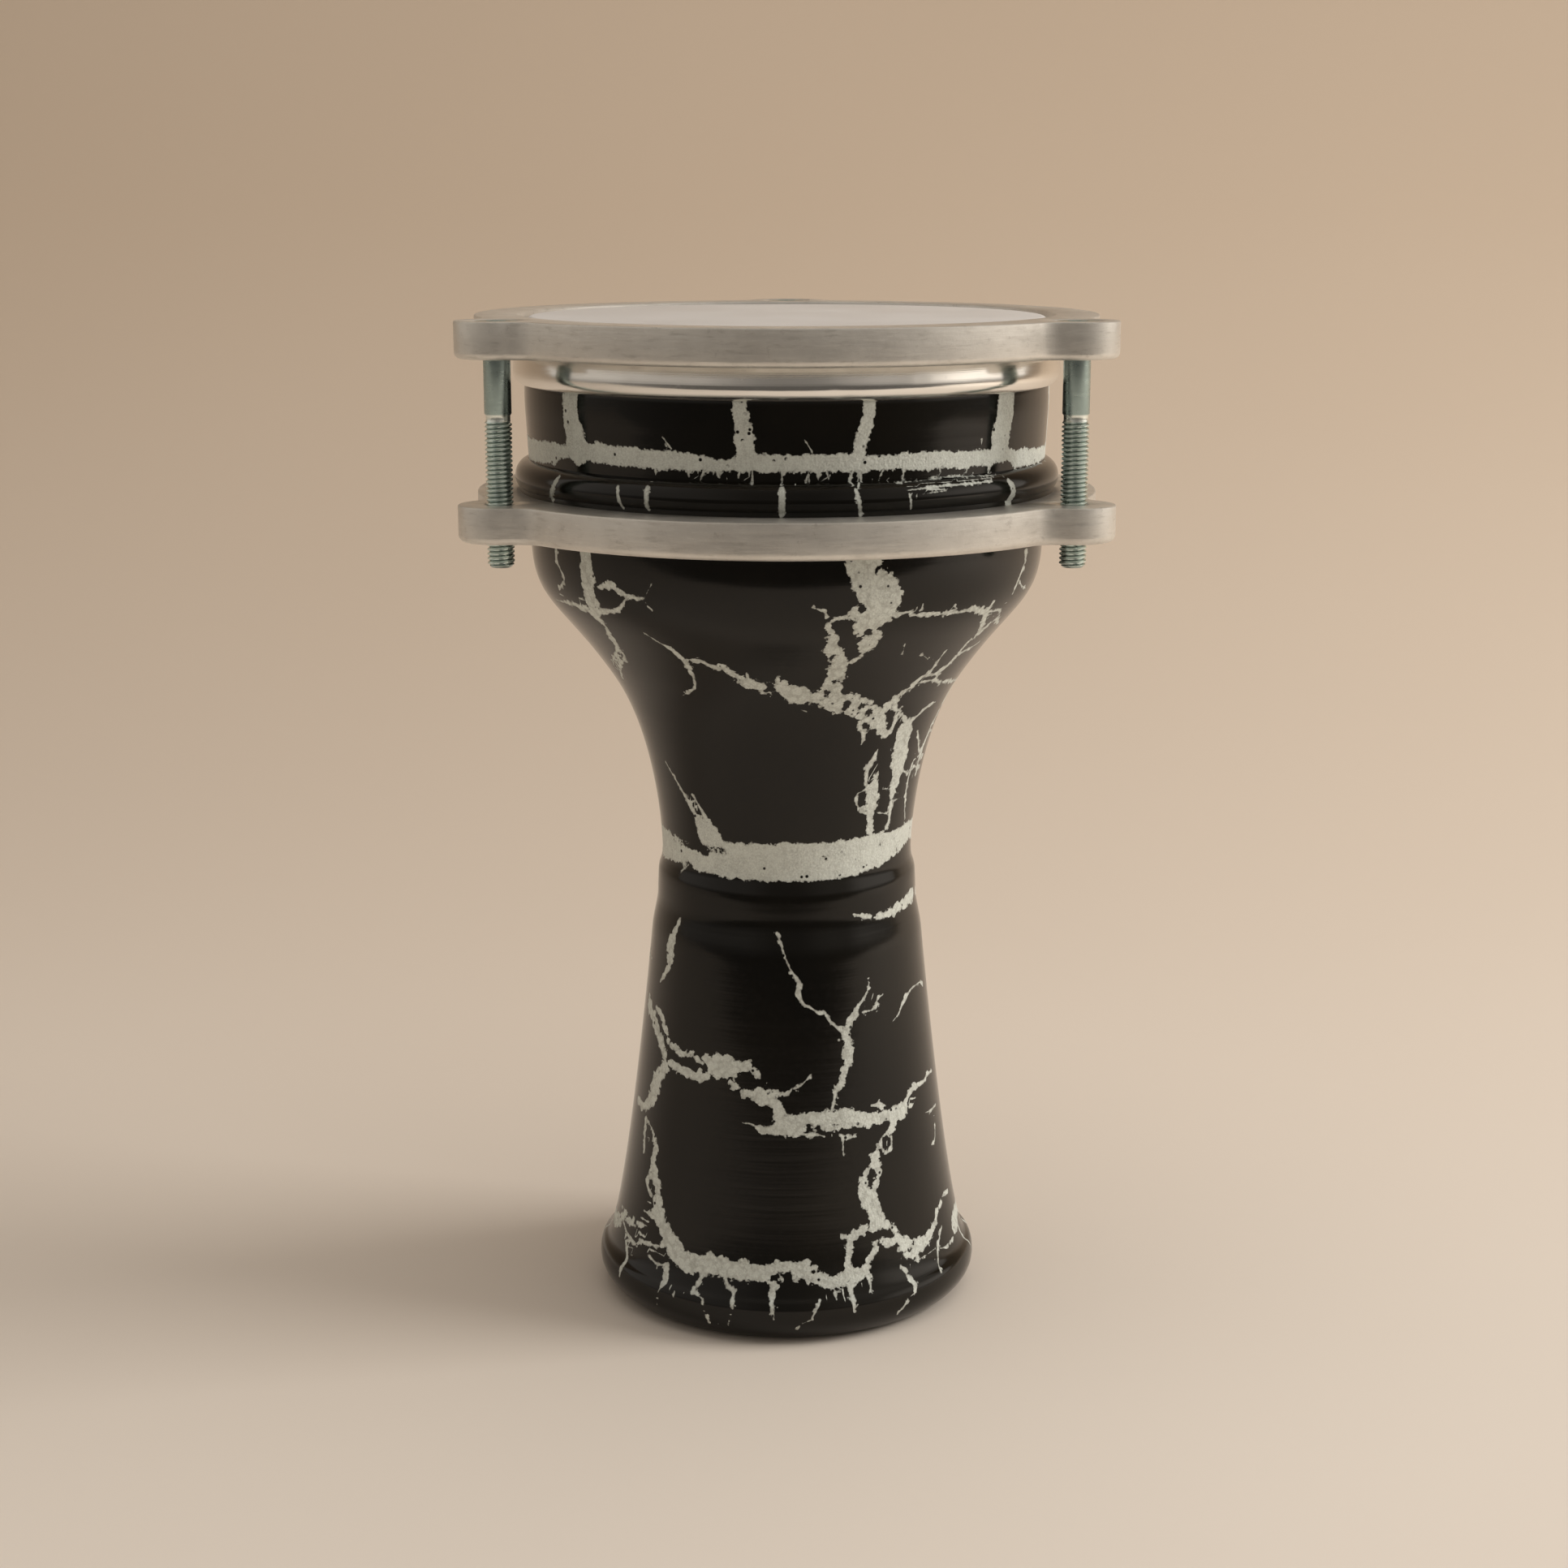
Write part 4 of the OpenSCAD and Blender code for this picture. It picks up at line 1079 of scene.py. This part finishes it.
def make_camera():
    """The photograph's view: a little above the head, looking down at the drum's middle."""
    data = bpy.data.cameras.new("camera")
    data.sensor_width = 36
    data.lens = 61.6
    data.dof.use_dof = False
    camera = bpy.data.objects.new("camera", data)
    camera.location = (-0.00065, -0.6295, 0.2643)
    camera.rotation_euler = (math.radians(77.49), 0, 0)
    bpy.context.scene.collection.objects.link(camera)
    bpy.context.scene.camera = camera
    bpy.context.scene.view_settings.view_transform = "Standard"


# ---- the drum
def make_drum():
    """Every piece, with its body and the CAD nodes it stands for."""
    casting = casting_material()
    shell = make_shell()
    put_material(shell, enamel_material())
    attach(shell, "drum")
    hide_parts("cast_shell")

    bottom, top = heights("lower_ring")
    tapped = [(3.6, bottom - MM), (3.6, bottom), (3.05, bottom + 0.5 * MM), (3.05, top - 0.5 * MM),
              (3.6, top), (3.6, top + MM)]
    lower = make_ring("lower_ring", 1.7 * MM, 0.35 * MM, [(r * MM, z) for r, z in tapped])
    put_material(lower, casting)
    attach(lower, "drum")
    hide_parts("lower_ring")

    bottom, top = heights("tension_ring")
    seat = heights("washer_back")[0]
    stepped = [(3.6, bottom - MM), (3.6, bottom), (3.3, bottom + 0.3 * MM), (3.3, seat), (5.7, seat),
               (5.7, top - 0.3 * MM), (6.0, top), (6.0, top + MM)]
    upper = make_ring("tension_ring", 1.5 * MM, 0.35 * MM, [(r * MM, z) for r, z in stepped])
    put_material(upper, casting)
    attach(upper, "tension_ring_body")
    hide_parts("tension_ring")

    hoop = make_turned("head_hoop", "hoop", 0.35 * MM, 240, closed=True)
    put_material(hoop, hoop_material())
    add_dents(hoop, [(9, 222, 1.2, 0.14), (12, 221.5, 0.9, 0.12), (-31, 224, 1.4, 0.06),
                     (27, 225, 1.4, 0.06)])
    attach(hoop, "drum")
    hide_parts("head_hoop")

    film = make_turned("head_membrane", "film", 2 * MM, 180, closed=False)
    put_material(film, film_material())
    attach(film, "drum")
    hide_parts("head_membrane")

    shank_from = 215.7 * MM
    zinc = zinc_material("blue_zinc", (0.78, 0.90, 0.86), 0.24, shank_from)
    for name in SCREW_NAMES:
        screw = make_screw(name)
        put_material(screw, zinc)
        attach(screw, name + "_body")
        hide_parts(name)

    washer_finish = zinc_material("washer_zinc", (0.62, 0.63, 0.60), 0.3)
    for name in ["washer_front_left", "washer_front_right", "washer_back"]:
        put_material(frame["nodes"][name], washer_finish)
    put_material(frame["nodes"]["film_lock_ring"], zinc_material("lock_steel", (0.5, 0.5, 0.5), 0.3))


make_drum()
make_sweep()
make_lights()
make_camera()
